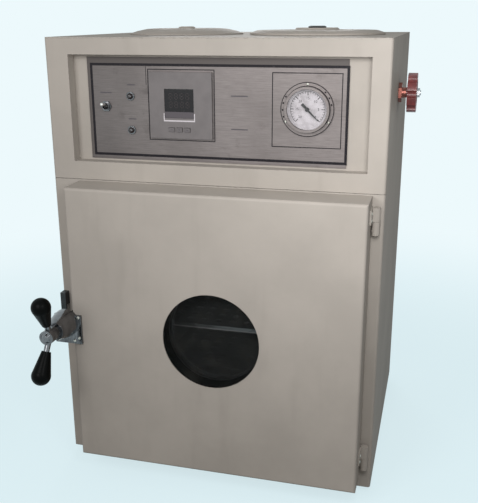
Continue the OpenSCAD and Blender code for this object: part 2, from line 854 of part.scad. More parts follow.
// Sheathed sensor through the back plate with its hexagon gland
module temperature_probe() {
  reach = 26;
  color(steel) in_cabinet() translate([probe_x, 0, probe_z]) {
    disc_y(probe_r, drum_y1 - reach, back_y1 + 20);
    translate([0, drum_y1 - reach, 0]) sphere(r = probe_r);
    translate([0, back_y1, 0]) rotate([-90, 0, 0]) cylinder(r = 7, h = 9, $fn = 6);
  }
}

// ---------------------------------------------------------------- vacuum line

// Chamber riser to the valve, outlet to the nozzle and a branch to the gauge
module vacuum_lines() {
  gauge_back = recess_d + gauge_depth - 6;
  color("#b87333") in_cabinet() {
    pipe_run([[port_x, drum_y1 + 1, port_z], [port_x, run_y, port_z], [riser_x, run_y, port_z],
              [riser_x, run_y, valve_z], [pipe_x, run_y, valve_z],
              [pipe_x, valve_y + valve_body_r, valve_z]], pipe_r);
    pipe_run([[pipe_x, valve_y, valve_z - valve_body_r], [pipe_x, valve_y, nozzle_z],
              [pipe_x, rear_y - 24, nozzle_z]], pipe_r);
    pipe_run([[pipe_x, tee_y, valve_z], [gauge_x, tee_y, valve_z],
              [gauge_x, gauge_back, valve_z]], pipe_r - 0.02);
    translate([pipe_x, tee_y, valve_z]) sphere(r = pipe_r*1.5);
  }
}

// Hose nozzle through the rear panel with its hexagon collar
module pump_nozzle() {
  color("#c9a24a") in_cabinet() translate([pipe_x, 0, nozzle_z]) difference() {
    union() {
      disc_y(nozzle_r + 2, rear_y - 24, cab_d + 1);
      translate([0, cab_d, 0]) rotate([-90, 0, 0]) cylinder(r = nozzle_r*1.9, h = 8, $fn = 6);
      disc_y(nozzle_r, cab_d + 1, cab_d + 8 + nozzle_l);
    }
    disc_y(nozzle_r - 2, rear_y - 10, cab_d + 9 + nozzle_l);
  }
}

// Brass body inside the side panel, its neck through the panel and the gland nut
module valve_body() {
  neck_r = valve_hole_r - 1;
  color("#c9a24a") in_cabinet() translate([0, valve_y, valve_z]) difference() {
    union() {
      disc_x(valve_body_r, pipe_x - 12, half_w - sheet - 6);
      disc_x(neck_r, half_w - sheet - 7, half_w + 5);
      translate([half_w, 0, 0]) rotate([0, 90, 0]) cylinder(r = valve_hole_r + 3, h = 5, $fn = 6);
      disc_x(neck_r - 3, half_w + 4, half_w + 12);
      translate([pipe_x, 0, 0]) disc_y(9, 0, valve_body_r);
      translate([pipe_x, 0, -valve_body_r]) cylinder(r = 9, h = valve_body_r);
    }
    disc_x(valve_pin_r + run_fit, half_w - 14, half_w + 13);
  }
}

module valve_spindle() {
  color(steel) in_cabinet() translate([0, valve_y, valve_z]) {
    disc_x(valve_pin_r, half_w - 13, spindle_x1);
    translate([half_w + wheel_off + wheel_t - 1, 0, 0]) rotate([0, 90, 0])
      cylinder(r = 7, h = 4.5, $fn = 6);
  }
}

// Scalloped handwheel: lobed rim, thin web with round holes, and hub
module valve_handwheel() {
  scallop_r = wheel_r*0.2;
  rim_w = wheel_r*0.3;
  hub_wheel_r = 9;
  hole_ring = (wheel_r - rim_w + hub_wheel_r)/2;
  hole_r = (wheel_r - rim_w - hub_wheel_r)*0.36;
  x0 = half_w + wheel_off;
  color("#a3242a") in_cabinet() translate([x0, valve_y, valve_z]) difference() {
    disc_x(wheel_r, 0, wheel_t - 1);
    for (i = [0 : scallops - 1]) rotate([i*360/scallops, 0, 0])
      translate([0, 0, wheel_r + scallop_r*0.35]) disc_x(scallop_r, -1, wheel_t);
    for (i = [0 : scallops - 1]) rotate([(i + 0.5)*360/scallops, 0, 0])
      translate([0, 0, hole_ring]) disc_x(hole_r, -1, wheel_t);
    difference() {
      disc_x(wheel_r - rim_w, wheel_t*0.55, wheel_t);
      disc_x(hub_wheel_r, 0, wheel_t);
    }
    difference() {
      disc_x(wheel_r - rim_w, -1, wheel_t*0.2);
      disc_x(hub_wheel_r, -1, wheel_t);
    }
    disc_x(valve_pin_r, -1, wheel_t);
  }
}

// ---------------------------------------------------------------- power side

// Relay and terminal block on the partition tray
module power_relay() {
  z0 = tray_z + sheet;
  relay = [cab_w*0.09, cab_d*0.13, relay_h];
  relay_x = -half_w*0.6;
  cap_in = relay.x*0.09;
  strip = [cab_w*0.2, cab_d*0.052, relay_h*0.34];
  strip_x = relay_x + relay.x*1.3;
  ways = 8;
  way = strip.x/ways;
  color("#3c3c3c") in_cabinet() translate([0, cab_d*0.53, z0]) {
    translate([relay_x, 0, 0]) cube(relay);
    translate([relay_x + cap_in, cap_in, relay.z])
      cube([relay.x - 2*cap_in, relay.y - 2*cap_in, relay.z*0.2]);
    difference() {
      translate([strip_x, strip.y/2, 0]) cube(strip);
      for (i = [0 : ways - 1]) translate([strip_x + (i + 0.5)*way, strip.y, strip.z*0.6])
        cylinder(r = way*0.28, h = strip.z);
    }
  }
}

// Three-pin appliance inlet in the rear panel
module mains_inlet() {
  flange = 5;
  color(dark) in_cabinet() translate([inlet_x, 0, inlet_z]) difference() {
    union() {
      block([-inlet_w/2, inlet_w/2], [rear_y - 22, cab_d], [-inlet_h/2, inlet_h/2]);
      block([-inlet_w/2 - flange, inlet_w/2 + flange], [cab_d, cab_d + 3],
            [-inlet_h/2 - flange, inlet_h/2 + flange]);
    }
    difference() {
      block([-inlet_w/2 + 2, inlet_w/2 - 2], [rear_y - 14, cab_d + 4],
            [-inlet_h/2 + 2, inlet_h/2 - 2]);
      for (x = [-7, 0, 7])
        block([x - 1, x + 1], [rear_y - 15, cab_d - 1], [x == 0 ? 0 : -4, x == 0 ? 6 : 2]);
    }
  }
}

// ---------------------------------------------------------------- hinges

// Fixed halves: foot on the cabinet front, arm, lower knuckle and pin
module cabinet_hinges() {
  color(paint) in_cabinet() for (z = hinge_heights) translate([hinge_x, hinge_y, z]) {
    translate([0, 0, -knuckle_l]) cylinder(r = knuckle_r, h = knuckle_l - knuckle_gap/2);
    translate([0, 0, -knuckle_gap]) cylinder(r = hinge_pin_r, h = knuckle_l - 2);
    block([knuckle_r - hinge_t, knuckle_r], [0, hinge_off], [-knuckle_l, -knuckle_gap/2]);
    block([hinge_gap - knuckle_r, knuckle_r], [hinge_off - hinge_t, hinge_off],
          [-knuckle_l, -knuckle_gap/2]);
  }
}

// Moving halves: leaf on the door's side and upper knuckle
module door_hinges() {
  color(paint) in_cabinet() for (z = hinge_heights) translate([hinge_x, hinge_y, z])
    difference() {
      union() {
        translate([0, 0, knuckle_gap/2]) cylinder(r = knuckle_r, h = knuckle_l);
        block([-knuckle_r - hinge_gap, hinge_t - knuckle_r - hinge_gap],
              [-leaf_l, -knuckle_r + hinge_t], [knuckle_gap/2, knuckle_gap/2 + knuckle_l]);
        block([-knuckle_r - hinge_gap, 0], [-knuckle_r, -knuckle_r + hinge_t],
              [knuckle_gap/2, knuckle_gap/2 + knuckle_l]);
      }
      cylinder(r = hinge_pin_r + run_fit, h = knuckle_l - 1);
    }
}

// ---------------------------------------------------------------- door

// Box with its four front edges rounded, from the front plane y0 to y1
module door_box(x, y, z, r) {
  w = x[1] - x[0];
  h = z[1] - z[0];
  d = y[1] - y[0];
  translate([(x[0] + x[1])/2, y[0], (z[0] + z[1])/2]) intersection() {
    translate([0, 0, -h/2]) linear_extrude(h) front_outline(w, d, r);
    rotate([0, 90, 0]) translate([0, 0, -w/2]) linear_extrude(w) front_outline(h, d, r);
  }
}

module door_pan() {
  y1 = -door_gap;
  inner_x = [door_x0 + sheet, door_x1 - sheet];
  inner_z = [door_z0 + sheet, door_z1 - sheet];
  color(paint) in_cabinet() difference() {
    door_box([door_x0, door_x1], [-door_t, y1], [door_z0, door_z1], bend_r);
    door_box(inner_x, [sheet - door_t, y1 - sheet], inner_z, bend_r - sheet);
    block([door_x0 + door_lip, door_x1 - door_lip], [y1 - 2*sheet, y1 + 1],
          [door_z0 + door_lip, door_z1 - door_lip]);
    translate([chamber_x, 0, chamber_z]) disc_y(window_r, -door_t - 1, 2*sheet - door_t);
  }
}

// Sheet that closes the door's back round the pressure plate
module door_liner() {
  edge = sheet + loose;
  color(steel) in_cabinet() difference() {
    block([door_x0 + edge, door_x1 - edge], [plate_y1 - sheet, plate_y1],
          [door_z0 + edge, door_z1 - edge]);
    translate([chamber_x, 0, chamber_z]) disc_y(plate_r, plate_y1 - 2*sheet, plate_y1 + 1);
  }
}

module door_plate() {
  color(steel) in_cabinet() translate([chamber_x, 0, chamber_z])
    ring_y(plate_r, window_r, plate_y0, plate_y1);
}

module door_insulation() {
  edge = bend_r + loose;
  color("#d8cfa8") in_cabinet() difference() {
    block([door_x0 + edge, door_x1 - edge], [pane_y0 + loose, plate_y1 - sheet - 0.3],
          [door_z0 + edge, door_z1 - edge]);
    translate([chamber_x, 0, chamber_z]) {
      disc_y(ring_r + 2, -door_t, 0);
      disc_y(plate_r + 1, plate_y0 - 0.5, 0);
    }
  }
}

module outer_pane() {
  color("#202428", 0.5) in_cabinet() translate([chamber_x, 0, chamber_z])
    disc_y(glass_r, pane_y0, pane_y1);
}

// Tube between the two glasses, with the flange that holds the outer pane
module window_tunnel() {
  color("#1c1c1c") in_cabinet() translate([chamber_x, 0, chamber_z]) {
    ring_y(glass_r + 4, window_r, pane_y1, pane_y1 + sheet);
    ring_y(window_r + sheet, window_r, pane_y1, ring_y0);
  }
}

// Clamp ring that holds the thick glass against the outside of the pressure plate
module window_ring() {
  color(steel) in_cabinet() translate([chamber_x, 0, chamber_z]) difference() {
    ring_y(ring_r, window_r, ring_y0, plate_y0);
    disc_y(glass_r + 0.3, glass_y0, plate_y0 + 1);
  }
}

module window_glass() {
  color("#90a0a8", 0.4) in_cabinet() translate([chamber_x, 0, chamber_z])
    disc_y(glass_r, glass_y0, plate_y0 - glass_gap);
}

// ---------------------------------------------------------------- latch

// Cast body over the door's left edge: foot plate, bell-shaped barrel and rear guide
module latch_housing() {
  face_t = 4;
  plate_x = [-hub_r - 7, latch_out + hub_r + 5];
  plate_z = [-3*hub_r, hub_r + 3];
  bell_l = -door_t - housing_y0;
  guide_r = spindle_r + 4;
  guide_y = [-door_t + 13, -door_t + 33];
  color(steel) in_cabinet() translate([latch_x, 0, latch_z]) difference() {
    union() {
      block(plate_x, [-door_t - face_t, -door_t], plate_z);
      translate([0, -door_t, 0]) rotate([90, 0, 0]) rotate_extrude()
        polygon([[0, 0], [2*hub_r, 0], [2*hub_r - 0.5, bell_l*0.25], [hub_r + 8.5, bell_l*0.5],
                 [hub_r + 5.5, bell_l*0.75], [hub_r + 3, bell_l], [0, bell_l]]);
      disc_y(guide_r, guide_y[0], guide_y[1]);
      block([0, latch_out], guide_y, [-guide_r, guide_r]);
      block([latch_out - 3, latch_out], [-door_t - 1, guide_y[0] + 1], [-guide_r, guide_r]);
    }
    disc_y(spindle_r + run_fit, -hub_y, 0);
  }
}

// Spindle with its tongue, hub and the two arms
module latch_handle() {
  arm_end = arm_l - grip_l + 8;
  color(steel) in_cabinet() translate([latch_x, 0, latch_z]) {
    disc_y(spindle_r, -hub_y, tongue_y0 + tongue_t);
    disc_y(tongue_w*0.75, tongue_y0, tongue_y0 + tongue_t);
    block([-tongue_w/2, tongue_w/2], [tongue_y0, tongue_y0 + tongue_t], [-tongue_l, 0]);
    disc_y(hub_r, -hub_y - 12, housing_y0 - loose);
    translate([0, -hub_y - 12, 0]) rotate([90, 0, 0]) cylinder(r1 = 8, r2 = 5, h = 4);
    on_arms() cylinder(r = arm_r, h = arm_end);
  }
}

// Places its children along each of the two arms, from the hub's middle
module on_arms() {
  translate([0, -hub_y, 0]) rotate([0, arm_lean, 0]) for (s = [-1, 1])
    rotate([s > 0 ? arm_sweep : 180 - arm_sweep, 0, 0]) children();
}

// Bulb grips at the ends of the arms
module latch_grips() {
  neck_r = 7;
  color(dark) in_cabinet() translate([latch_x, 0, latch_z]) on_arms() difference() {
    union() {
      translate([0, 0, arm_l - grip_l])
        cylinder(r1 = neck_r, r2 = grip_r*0.97, h = grip_l - grip_r*1.2);
      translate([0, 0, arm_l - grip_r]) sphere(r = grip_r);
    }
    translate([0, 0, arm_l - grip_l - 1]) cylinder(r = arm_r, h = 9);
  }
}

// Block and lip on the cabinet's left margin that the tongue turns behind
module latch_keeper() {
  color(steel) in_cabinet() translate([0, 0, latch_z]) {
    block([keeper_x0, keeper_x1], [keeper_y1, 0], keeper_z);
    block([keeper_x0, keeper_x1], [keeper_y1 - keeper_t, keeper_y1], [-keeper_z[0], keeper_z[1]]);
  }
}

// ---------------------------------------------------------------- roof vents

// Fixed studs that the caps turn on, through the roof and seated on it
module vent_knobs_base() {
  color(steel) in_cabinet() for (x = [left_vent_x, right_vent_x]) translate([x, vent_y, 0]) {
    translate([0, 0, roof_z]) cylinder(r = stud_r, h = sheet + stud_l);
    translate([0, 0, roof_z - 3]) cylinder(r = stud_r*2, h = 3, $fn = 6);
  }
}

// Turning cap: the profile's revolve, hollow below, bored for its stud, with a knob on top
module vent_cap(profile, hollow_r, hollow_h, knob_r, knob_h, knob_colour) {
  h = profile[len(profile) - 1].y;
  translate([0, 0, cab_h + loose]) {
    difference() {
      rotate_extrude() polygon(profile);
      translate([0, 0, -1]) cylinder(r = knob_bore, h = stud_l + 1);
      difference() {
        translate([0, 0, -1]) cylinder(r = hollow_r, h = hollow_h + 1);
        translate([0, 0, -2]) cylinder(r = stud_r + 5, h = h + 2);
      }
      vent_hole_ring(180/vent_holes, -1, h + 1);
    }
    color(knob_colour) translate([0, 0, h]) {
      cylinder(r = knob_r, h = knob_h*0.6);
      translate([0, 0, knob_h*0.6]) cylinder(r1 = knob_r, r2 = knob_r*0.75, h = knob_h*0.4);
    }
  }
}

// Low cap with a wide flat top
module left_vent_cap() {
  r = left_vent_r;
  h = left_vent_h;
  color(paint) in_cabinet() translate([left_vent_x, vent_y, 0])
    vent_cap([[0, 0], [r, 0], [r, 1.5], [r - 12, h*0.58], [r - 28, h*0.93], [r - 38, h], [0, h]],
             r - 38, h - cap_wall, 13, 3, "#8c887f");
}

// Flat disc with a raised middle and a black knob
module right_vent_cap() {
  r = right_vent_r;
  h = right_vent_h;
  boss_r = 33;
  disc_h = h*0.62;
  color(paint) in_cabinet() translate([right_vent_x, vent_y, 0])
    vent_cap([[0, 0], [r, 0], [r, 2.5], [r - 12, disc_h], [boss_r + 3, disc_h + 1], [boss_r, h],
              [0, h]], r - 14, disc_h - cap_wall, 13.5, 3, dark);
}

base_pan();
feet();
left_panel();
right_panel();
roof_panel();
rear_panel();
front_fascia();
lower_front();
partition_tray();
panel_subframe();
control_panel();
chamber_flange();
chamber_drum();
chamber_back();
door_gasket();
shelf_rails();
drum_saddle();
band_heaters();
insulation_jacket();
temperature_probe();
vacuum_lines();
pump_nozzle();
valve_body();
valve_spindle();
valve_handwheel();
gauge_case();
gauge_bezel();
gauge_dial();
gauge_glass();
gauge_pointer();
controller_body();
controller_window();
controller_key_set();
controller_key_down();
controller_key_up();
switch_body();
switch_lever();
lamp_bezels();
lamp_lenses();
power_relay();
mains_inlet();
cabinet_hinges();
door_hinges();
latch_keeper();
door_pan();
door_liner();
door_plate();
door_insulation();
outer_pane();
window_tunnel();
window_ring();
window_glass();
latch_housing();
latch_handle();
latch_grips();
left_vent_cap();
right_vent_cap();
vent_knobs_base();
upper_shelf();
lower_shelf();
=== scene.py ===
import json
import math

import bmesh
import bpy
from mathutils import Matrix, Vector


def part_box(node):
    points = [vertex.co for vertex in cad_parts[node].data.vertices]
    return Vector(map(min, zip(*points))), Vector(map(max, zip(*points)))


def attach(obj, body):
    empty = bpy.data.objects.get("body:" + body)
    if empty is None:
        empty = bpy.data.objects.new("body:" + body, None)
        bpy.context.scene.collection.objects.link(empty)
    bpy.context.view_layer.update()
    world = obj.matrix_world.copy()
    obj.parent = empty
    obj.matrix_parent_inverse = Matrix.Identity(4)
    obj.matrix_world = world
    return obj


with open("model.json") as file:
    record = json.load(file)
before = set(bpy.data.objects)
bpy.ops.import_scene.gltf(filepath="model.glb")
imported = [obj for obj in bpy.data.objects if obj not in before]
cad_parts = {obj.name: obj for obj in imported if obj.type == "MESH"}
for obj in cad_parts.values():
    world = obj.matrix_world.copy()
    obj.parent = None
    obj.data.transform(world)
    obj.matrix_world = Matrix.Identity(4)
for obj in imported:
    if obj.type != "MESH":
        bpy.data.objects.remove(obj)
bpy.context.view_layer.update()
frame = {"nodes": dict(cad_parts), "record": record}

MM = 0.001

# The cabinet's own frame, in millimetres: X right, Y from the front plane into the depth, Z up from
# the cabinet's base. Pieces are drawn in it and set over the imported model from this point.
CABINET_ORIGIN = Vector((0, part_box("front_fascia")[0].y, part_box("base_pan")[0].z))


def cabinet_box(node):
    """Lowest and highest corner of a CAD node, in millimetres in the cabinet's frame."""
    return tuple((corner - CABINET_ORIGIN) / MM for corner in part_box(node))


def middle(node):
    """Middle of a CAD node's box, in millimetres in the cabinet's frame."""
    low, high = cabinet_box(node)
    return (low + high) / 2


def linear(red, green, blue):
    """A colour picked on screen, from 0 to 255, as the linear values that a shader takes."""
    values = []
    for level in (red, green, blue):
        share = level / 255
        values.append(share / 12.92 if level <= 10 else ((share + 0.055) / 1.055) ** 2.4)
    return (*values, 1.0)


def shade(colour, factor):
    """A screen colour made darker or lighter, as linear values."""
    return linear(*[min(255, level * factor) for level in colour])


def faded(colour, grey, share):
    """A screen colour drawn part of the way to a grey, as linear values."""
    return linear(*[level + (grey - level) * share for level in colour])


# ---------------------------------------------------------------- camera

CAMERA_PLACE = (0.32169, -1.25251, 0.71817)
CAMERA_YAW = math.radians(14.985)
CAMERA_PITCH = math.radians(17.195)
CAMERA_ROLL = math.radians(-0.243)
CAMERA_LENS = 54.106
NEAREST_SEEN = 0.05
FURTHEST_SEEN = 60


def make_camera():
    """The camera stands to the right, turned left by the yaw and down by the pitch."""
    lens = bpy.data.cameras.new("camera")
    lens.lens = CAMERA_LENS
    lens.clip_start = NEAREST_SEEN
    lens.clip_end = FURTHEST_SEEN
    camera = bpy.data.objects.new("camera", lens)
    ahead = Vector((-math.sin(CAMERA_YAW) * math.cos(CAMERA_PITCH),
                    math.cos(CAMERA_YAW) * math.cos(CAMERA_PITCH), -math.sin(CAMERA_PITCH)))
    level = Vector((math.cos(CAMERA_YAW), math.sin(CAMERA_YAW), 0))
    over = level.cross(ahead)
    right = math.cos(CAMERA_ROLL) * level + math.sin(CAMERA_ROLL) * over
    up = math.cos(CAMERA_ROLL) * over - math.sin(CAMERA_ROLL) * level
    turn = Matrix((right, up, -ahead)).transposed().to_4x4()
    camera.matrix_world = Matrix.Translation(CAMERA_PLACE) @ turn
    bpy.context.scene.collection.objects.link(camera)
    bpy.context.scene.camera = camera


make_camera()

# ---------------------------------------------------------------- shader nodes

# The colour sockets of a Mix node, which has a set of sockets for each kind of value.
MIX_FACTOR = 0
MIX_FIRST = 6
MIX_SECOND = 7
MIX_RESULT = 2


class Socket:
    """An output of a node. Arithmetic on it adds Math nodes to the same tree."""

    def __init__(self, tree, output):
        self.tree = tree
        self.output = output

    def sibling(self, name):
        """Another output of the same node."""
        return Socket(self.tree, self.output.node.outputs[name])

    def maths(self, operation, *values):
        """Adds a Math node on this output and others, or on plain numbers."""
        return self.tree.node("ShaderNodeMath", {"operation": operation}, dict(enumerate(values)))

    def __add__(self, other):
        return self.maths("ADD", self, other)

    def __radd__(self, other):
        return self.maths("ADD", other, self)

    def __sub__(self, other):
        return self.maths("SUBTRACT", self, other)

    def __rsub__(self, other):
        return self.maths("SUBTRACT", other, self)

    def __mul__(self, other):
        return self.maths("MULTIPLY", self, other)

    def __rmul__(self, other):
        return self.maths("MULTIPLY", other, self)

    def between(self, low, high):
        """0 below low, 1 above high, and a smooth rise from one to the other."""
        return self.tree.node("ShaderNodeMapRange", {"interpolation_type": "SMOOTHSTEP"},
                              {"Value": self, "From Min": low, "From Max": high}, "Result")


class Tree:
    """The nodes of a material or of the world."""

    def __init__(self, owner):
        owner.use_nodes = True
        self.tree = owner.node_tree
        self.tree.nodes.clear()

    def node(self, kind, settings=None, inputs=None, take=0):
        """Adds a node: its settings first, then the values or links of its sockets."""
        made = self.tree.nodes.new(kind)
        for name, value in (settings or {}).items():
            setattr(made, name, value)
        for name, value in (inputs or {}).items():
            if isinstance(value, Socket):
                self.tree.links.new(value.output, made.inputs[name])
            else:
                made.inputs[name].default_value = value
        return Socket(self, made.outputs[take]) if made.outputs else None

    def blend(self, factor, first, second):
        """Mixes two colours."""
        return self.node("ShaderNodeMix", {"data_type": "RGBA"},
                         {MIX_FACTOR: factor, MIX_FIRST: first, MIX_SECOND: second}, MIX_RESULT)


class Finish(Tree):
    """A material: one Principled shader, and the nodes that feed it."""

    def __init__(self, name, **constants):
        """Each constant is a value of a socket of the shader, with _ for the spaces in its name."""
        self.material = bpy.data.materials.new(name)
        super().__init__(self.material)
        values = {socket.replace("_", " "): value for socket, value in constants.items()}
        shader = self.node("ShaderNodeBsdfPrincipled", {}, values)
        self.shader = shader.output.node
        self.node("ShaderNodeOutputMaterial", {}, {"Surface": shader})
        self.place = self.node("ShaderNodeTexCoord", take="Object")

    def feed(self, socket, value):
        self.tree.links.new(value.output, self.shader.inputs[socket])

    def along(self, axis):
        """The place on the object along X, Y or Z, in metres."""
        return self.node("ShaderNodeSeparateXYZ", {}, {0: self.place}, axis)

    def noise(self, scale, detail, rough, stretch=(1, 1, 1)):
        """Cloudy noise from 0 to 1; scale is in waves to the metre."""
        where = self.node("ShaderNodeVectorMath", {"operation": "MULTIPLY"},
                          {0: self.place, 1: stretch})
        return self.node("ShaderNodeTexNoise", {},
                         {"Vector": where, "Scale": scale, "Detail": detail, "Roughness": rough})

    def cells(self, scale, take="Distance"):
        """Irregular cells; scale is in cells to the metre."""
        return self.node("ShaderNodeTexVoronoi", {"feature": "F1"},
                         {"Vector": self.place, "Scale": scale}, take)

    def rounded(self, radius):
        """The surface's normal with its edges rounded off to a radius."""
        return self.node("ShaderNodeBevel", {"samples": 4}, {"Radius": radius})

    def edges(self, rounded):
        """1 on the edges and 0 on the flat, from the rounded normal."""
        normal = self.node("ShaderNodeNewGeometry", take="Normal")
        dot = self.node("ShaderNodeVectorMath", {"operation": "DOT_PRODUCT"},
                        {0: rounded, 1: normal}, "Value")
        return (1 - dot).between(0.004, 0.16)

    def relief(self, height, distance, strength, rounded=None):
        """Raises the surface by a height from 0 to 1 times a distance in metres."""
        inputs = {"Height": height, "Distance": distance, "Strength": strength}
        if rounded is not None:
            inputs["Normal"] = rounded
        self.feed("Normal", self.node("ShaderNodeBump", {}, inputs))


# ---------------------------------------------------------------- finishes


def stove_paint(name, colour):
    """Stoved paint on sheet steel: fine orange peel, faint clouds, darker towards the bottom, and worn
    edges.
    """
    finish = Finish(name, Coat_Weight=0.15, Coat_Roughness=0.3, IOR=1.5, Specular_IOR_Level=0.0)
    darker_brown = linear(96, 88, 78)
    primer = linear(112, 104, 96)
    clouds = finish.noise(7, detail=4, rough=0.6)
    streaks = finish.noise(26, detail=3, rough=0.6, stretch=(1, 1, 0.16))
    specks = finish.noise(900, detail=2, rough=0.5)
    low_down = 1 - finish.along("Z").between(0.0, 0.42)
    tone = finish.blend(clouds.between(0.3, 0.7), linear(*colour), shade(colour, 0.95))
    tone = finish.blend(streaks.between(0.52, 0.74) * 0.07, tone, darker_brown)
    # Darker towards the bottom, by height.
    tone = finish.blend(low_down * (0.1 + 0.12 * clouds), tone, darker_brown)
    tone = finish.blend(specks.between(0.66, 0.72) * 0.18, tone, shade(colour, 0.75))
    rounded = finish.rounded(0.0009)
    worn = finish.edges(rounded)
    chips = worn * finish.noise(160, detail=3, rough=0.7).between(0.52, 0.6)
    tone = finish.blend(worn * 0.3, tone, shade(colour, 1.12))
    finish.feed("Base Color", finish.blend(chips * 0.7, tone, primer))
    finish.feed("Roughness", 0.4 + 0.14 * clouds + 0.12 * chips)
    fine_peel = finish.noise(620, detail=2, rough=0.5)
    coarse_peel = finish.noise(240, detail=2, rough=0.5)
    finish.relief(fine_peel + 0.5 * coarse_peel, 0.00012, 0.35, rounded)
    return finish.material


def galvanised(name):
    """Zinc-coated sheet with its spangle."""
    finish = Finish(name, Metallic=0.9)
    white_rust = linear(150, 148, 142)
    grey = finish.node("ShaderNodeRGBToBW", {}, {0: finish.cells(55, "Color")})
    clouds = finish.noise(30, detail=4, rough=0.6)
    tone = finish.blend(grey, linear(168, 170, 172), linear(198, 200, 202))
    finish.feed("Base Color", finish.blend(clouds.between(0.5, 0.8) * 0.35, tone, white_rust))
    finish.feed("Roughness", 0.34 + 0.16 * grey)
    ripple = finish.noise(300, detail=3, rough=0.6)
    finish.relief(ripple, 0.0001, 0.3, finish.rounded(0.0004))
    return finish.material


def brushed(name, dark, light, metal, rough):
    """Metal drawn through a brush from side to side."""
    finish = Finish(name, Metallic=metal)
    hair = finish.noise(46, detail=6, rough=0.75, stretch=(1, 26, 26))
    clouds = finish.noise(9, detail=3, rough=0.6)
    tone = finish.blend(hair.between(0.3, 0.7), linear(*dark), linear(*light))
    finish.feed("Base Color", finish.blend(clouds.between(0.45, 0.8) * 0.4, tone, linear(*dark)))
    finish.feed("Roughness", rough + 0.14 * hair)
    finish.relief(hair, 0.00008, 0.25, finish.rounded(0.0003))
    return finish.material


def panel_aluminium(name):
    """Anodised grey panel, brushed across, with a few stains, and painted shade that darkens it to the
    left.
    """
    finish = Finish(name, Metallic=0.6)
    hair = finish.noise(34, detail=7, rough=0.8, stretch=(1, 20, 24))
    clouds = finish.noise(11, detail=4, rough=0.6)
    stains = finish.noise(38, detail=4, rough=0.65).between(0.58, 0.75)
    # Painted shade: the panel's colour is darkened towards its left.
    painted_shade_left = 1 - finish.along("X").between(-0.22, 0.04)
    tone = finish.blend(hair.between(0.28, 0.72), linear(110, 103, 101), linear(138, 130, 128))
    tone = finish.blend(clouds.between(0.4, 0.75) * 0.5, tone, linear(102, 95, 93))
    tone = finish.blend(painted_shade_left * 0.5, tone, linear(70, 66, 65))
    finish.feed("Base Color", finish.blend(stains * 0.22, tone, linear(80, 75, 73)))
    finish.feed("Roughness", 0.48 + 0.16 * hair + 0.1 * stains)
    finish.relief(hair, 0.00006, 0.25, finish.rounded(0.0003))
    return finish.material


def chrome_plate(name):
    """Chromium plate with handling marks and a little pitting."""
    finish = Finish(name, Metallic=1.0)
    rust = linear(84, 76, 66)
    smears = finish.noise(60, detail=4, rough=0.7, stretch=(1, 1, 0.4))
    pits = finish.noise(900, detail=2, rough=0.5).between(0.66, 0.7)
    tone = finish.blend(smears.between(0.4, 0.75), linear(122, 122, 124), linear(74, 74, 76))
    finish.feed("Base Color", finish.blend(pits * 0.6, tone, rust))
    finish.feed("Roughness", 0.1 + 0.22 * smears.between(0.35, 0.8) + 0.3 * pits)
    finish.relief(smears, 0.00012, 0.2, finish.rounded(0.0005))
    return finish.material


def blackened(name):
    """Steel blackened in oil, rubbed brighter on its edges."""
    finish = Finish(name, Metallic=0.6)
    bare_steel = linear(120, 118, 114)
    clouds = finish.noise(120, detail=4, rough=0.6)
    rounded = finish.rounded(0.0006)
    tone = finish.blend(clouds.between(0.3, 0.7), linear(40, 44, 44), linear(58, 60, 60))
    finish.feed("Base Color", finish.blend(finish.edges(rounded) * 0.4, tone, bare_steel))
    finish.feed("Roughness", 0.36 + 0.2 * clouds)
    finish.relief(finish.noise(500, detail=3, rough=0.6), 0.0001, 0.3, rounded)
    return finish.material


def moulded(name, colour, rough, grain=0.0, coat=0.0, dust=0.1, shine=0.5):
    """Moulded plastic: fine texture, dust and scuffs."""
    finish = Finish(name, Coat_Roughness=0.15, Coat_Weight=coat, IOR=1.5, Specular_IOR_Level=shine)
    clouds = finish.noise(40, detail=4, rough=0.6)
    scuffs = finish.noise(120, detail=5, rough=0.75, stretch=(1, 0.3, 1)).between(0.6, 0.7)
    tone = finish.blend(clouds.between(0.3, 0.75) * 0.4, linear(*colour), shade(colour, 0.78))
    finish.feed("Base Color", finish.blend(scuffs * dust, tone, faded(colour, 150, 0.5)))
    finish.feed("Roughness", rough + 0.12 * clouds + 0.14 * scuffs)
    texture = finish.noise(1400, detail=2, rough=0.5)
    finish.relief(texture * grain + clouds * 0.1, 0.0001, 0.4, finish.rounded(0.0004))
    return finish.material


def rubber(name, colour):
    """Rubber with a pale bloom on its skin."""
    finish = Finish(name, IOR=1.45)
    clouds = finish.noise(70, detail=4, rough=0.6)
    bloom = finish.noise(260, detail=4, rough=0.7).between(0.55, 0.75)
    tone = finish.blend(clouds, linear(*colour), shade(colour, 0.75))
    finish.feed("Base Color", finish.blend(bloom * 0.25, tone, faded(colour, 160, 0.35)))
    finish.feed("Roughness", 0.62 + 0.2 * clouds)
    texture = finish.noise(900, detail=2, rough=0.5)
    finish.relief(texture, 0.00012, 0.4, finish.rounded(0.0006))
    return finish.material


def mineral_wool(name):
    """Matted fibres, yellow-grey."""
    finish = Finish(name)
    fibres = finish.noise(320, detail=6, rough=0.8, stretch=(1, 0.25, 1))
    tufts = finish.noise(45, detail=4, rough=0.6)
    tone = finish.blend(fibres.between(0.3, 0.7), linear(142, 126, 84), linear(208, 196, 150))
    finish.feed("Base Color", finish.blend(tufts.between(0.5, 0.8) * 0.4, tone, linear(170, 150, 100)))
    finish.feed("Roughness", 0.85 + 0.1 * fibres)
    finish.relief(fibres + tufts, 0.0012, 0.8)
    return finish.material


def tarnished(name, bright, dull, scale=60, rough=0.28):
    """Bare or plated metal, turned on a lathe, with tarnish."""
    finish = Finish(name, Metallic=1.0)
    tarnish = finish.noise(scale, detail=5, rough=0.65).between(0.38, 0.7)
    turned = finish.noise(400, detail=3, rough=0.6)
    finish.feed("Base Color", finish.blend(tarnish * 0.75, linear(*bright), linear(*dull)))
    finish.feed("Roughness", rough + 0.24 * tarnish + 0.08 * turned)
    finish.relief(turned, 0.00008, 0.3, finish.rounded(0.0005))
    return finish.material


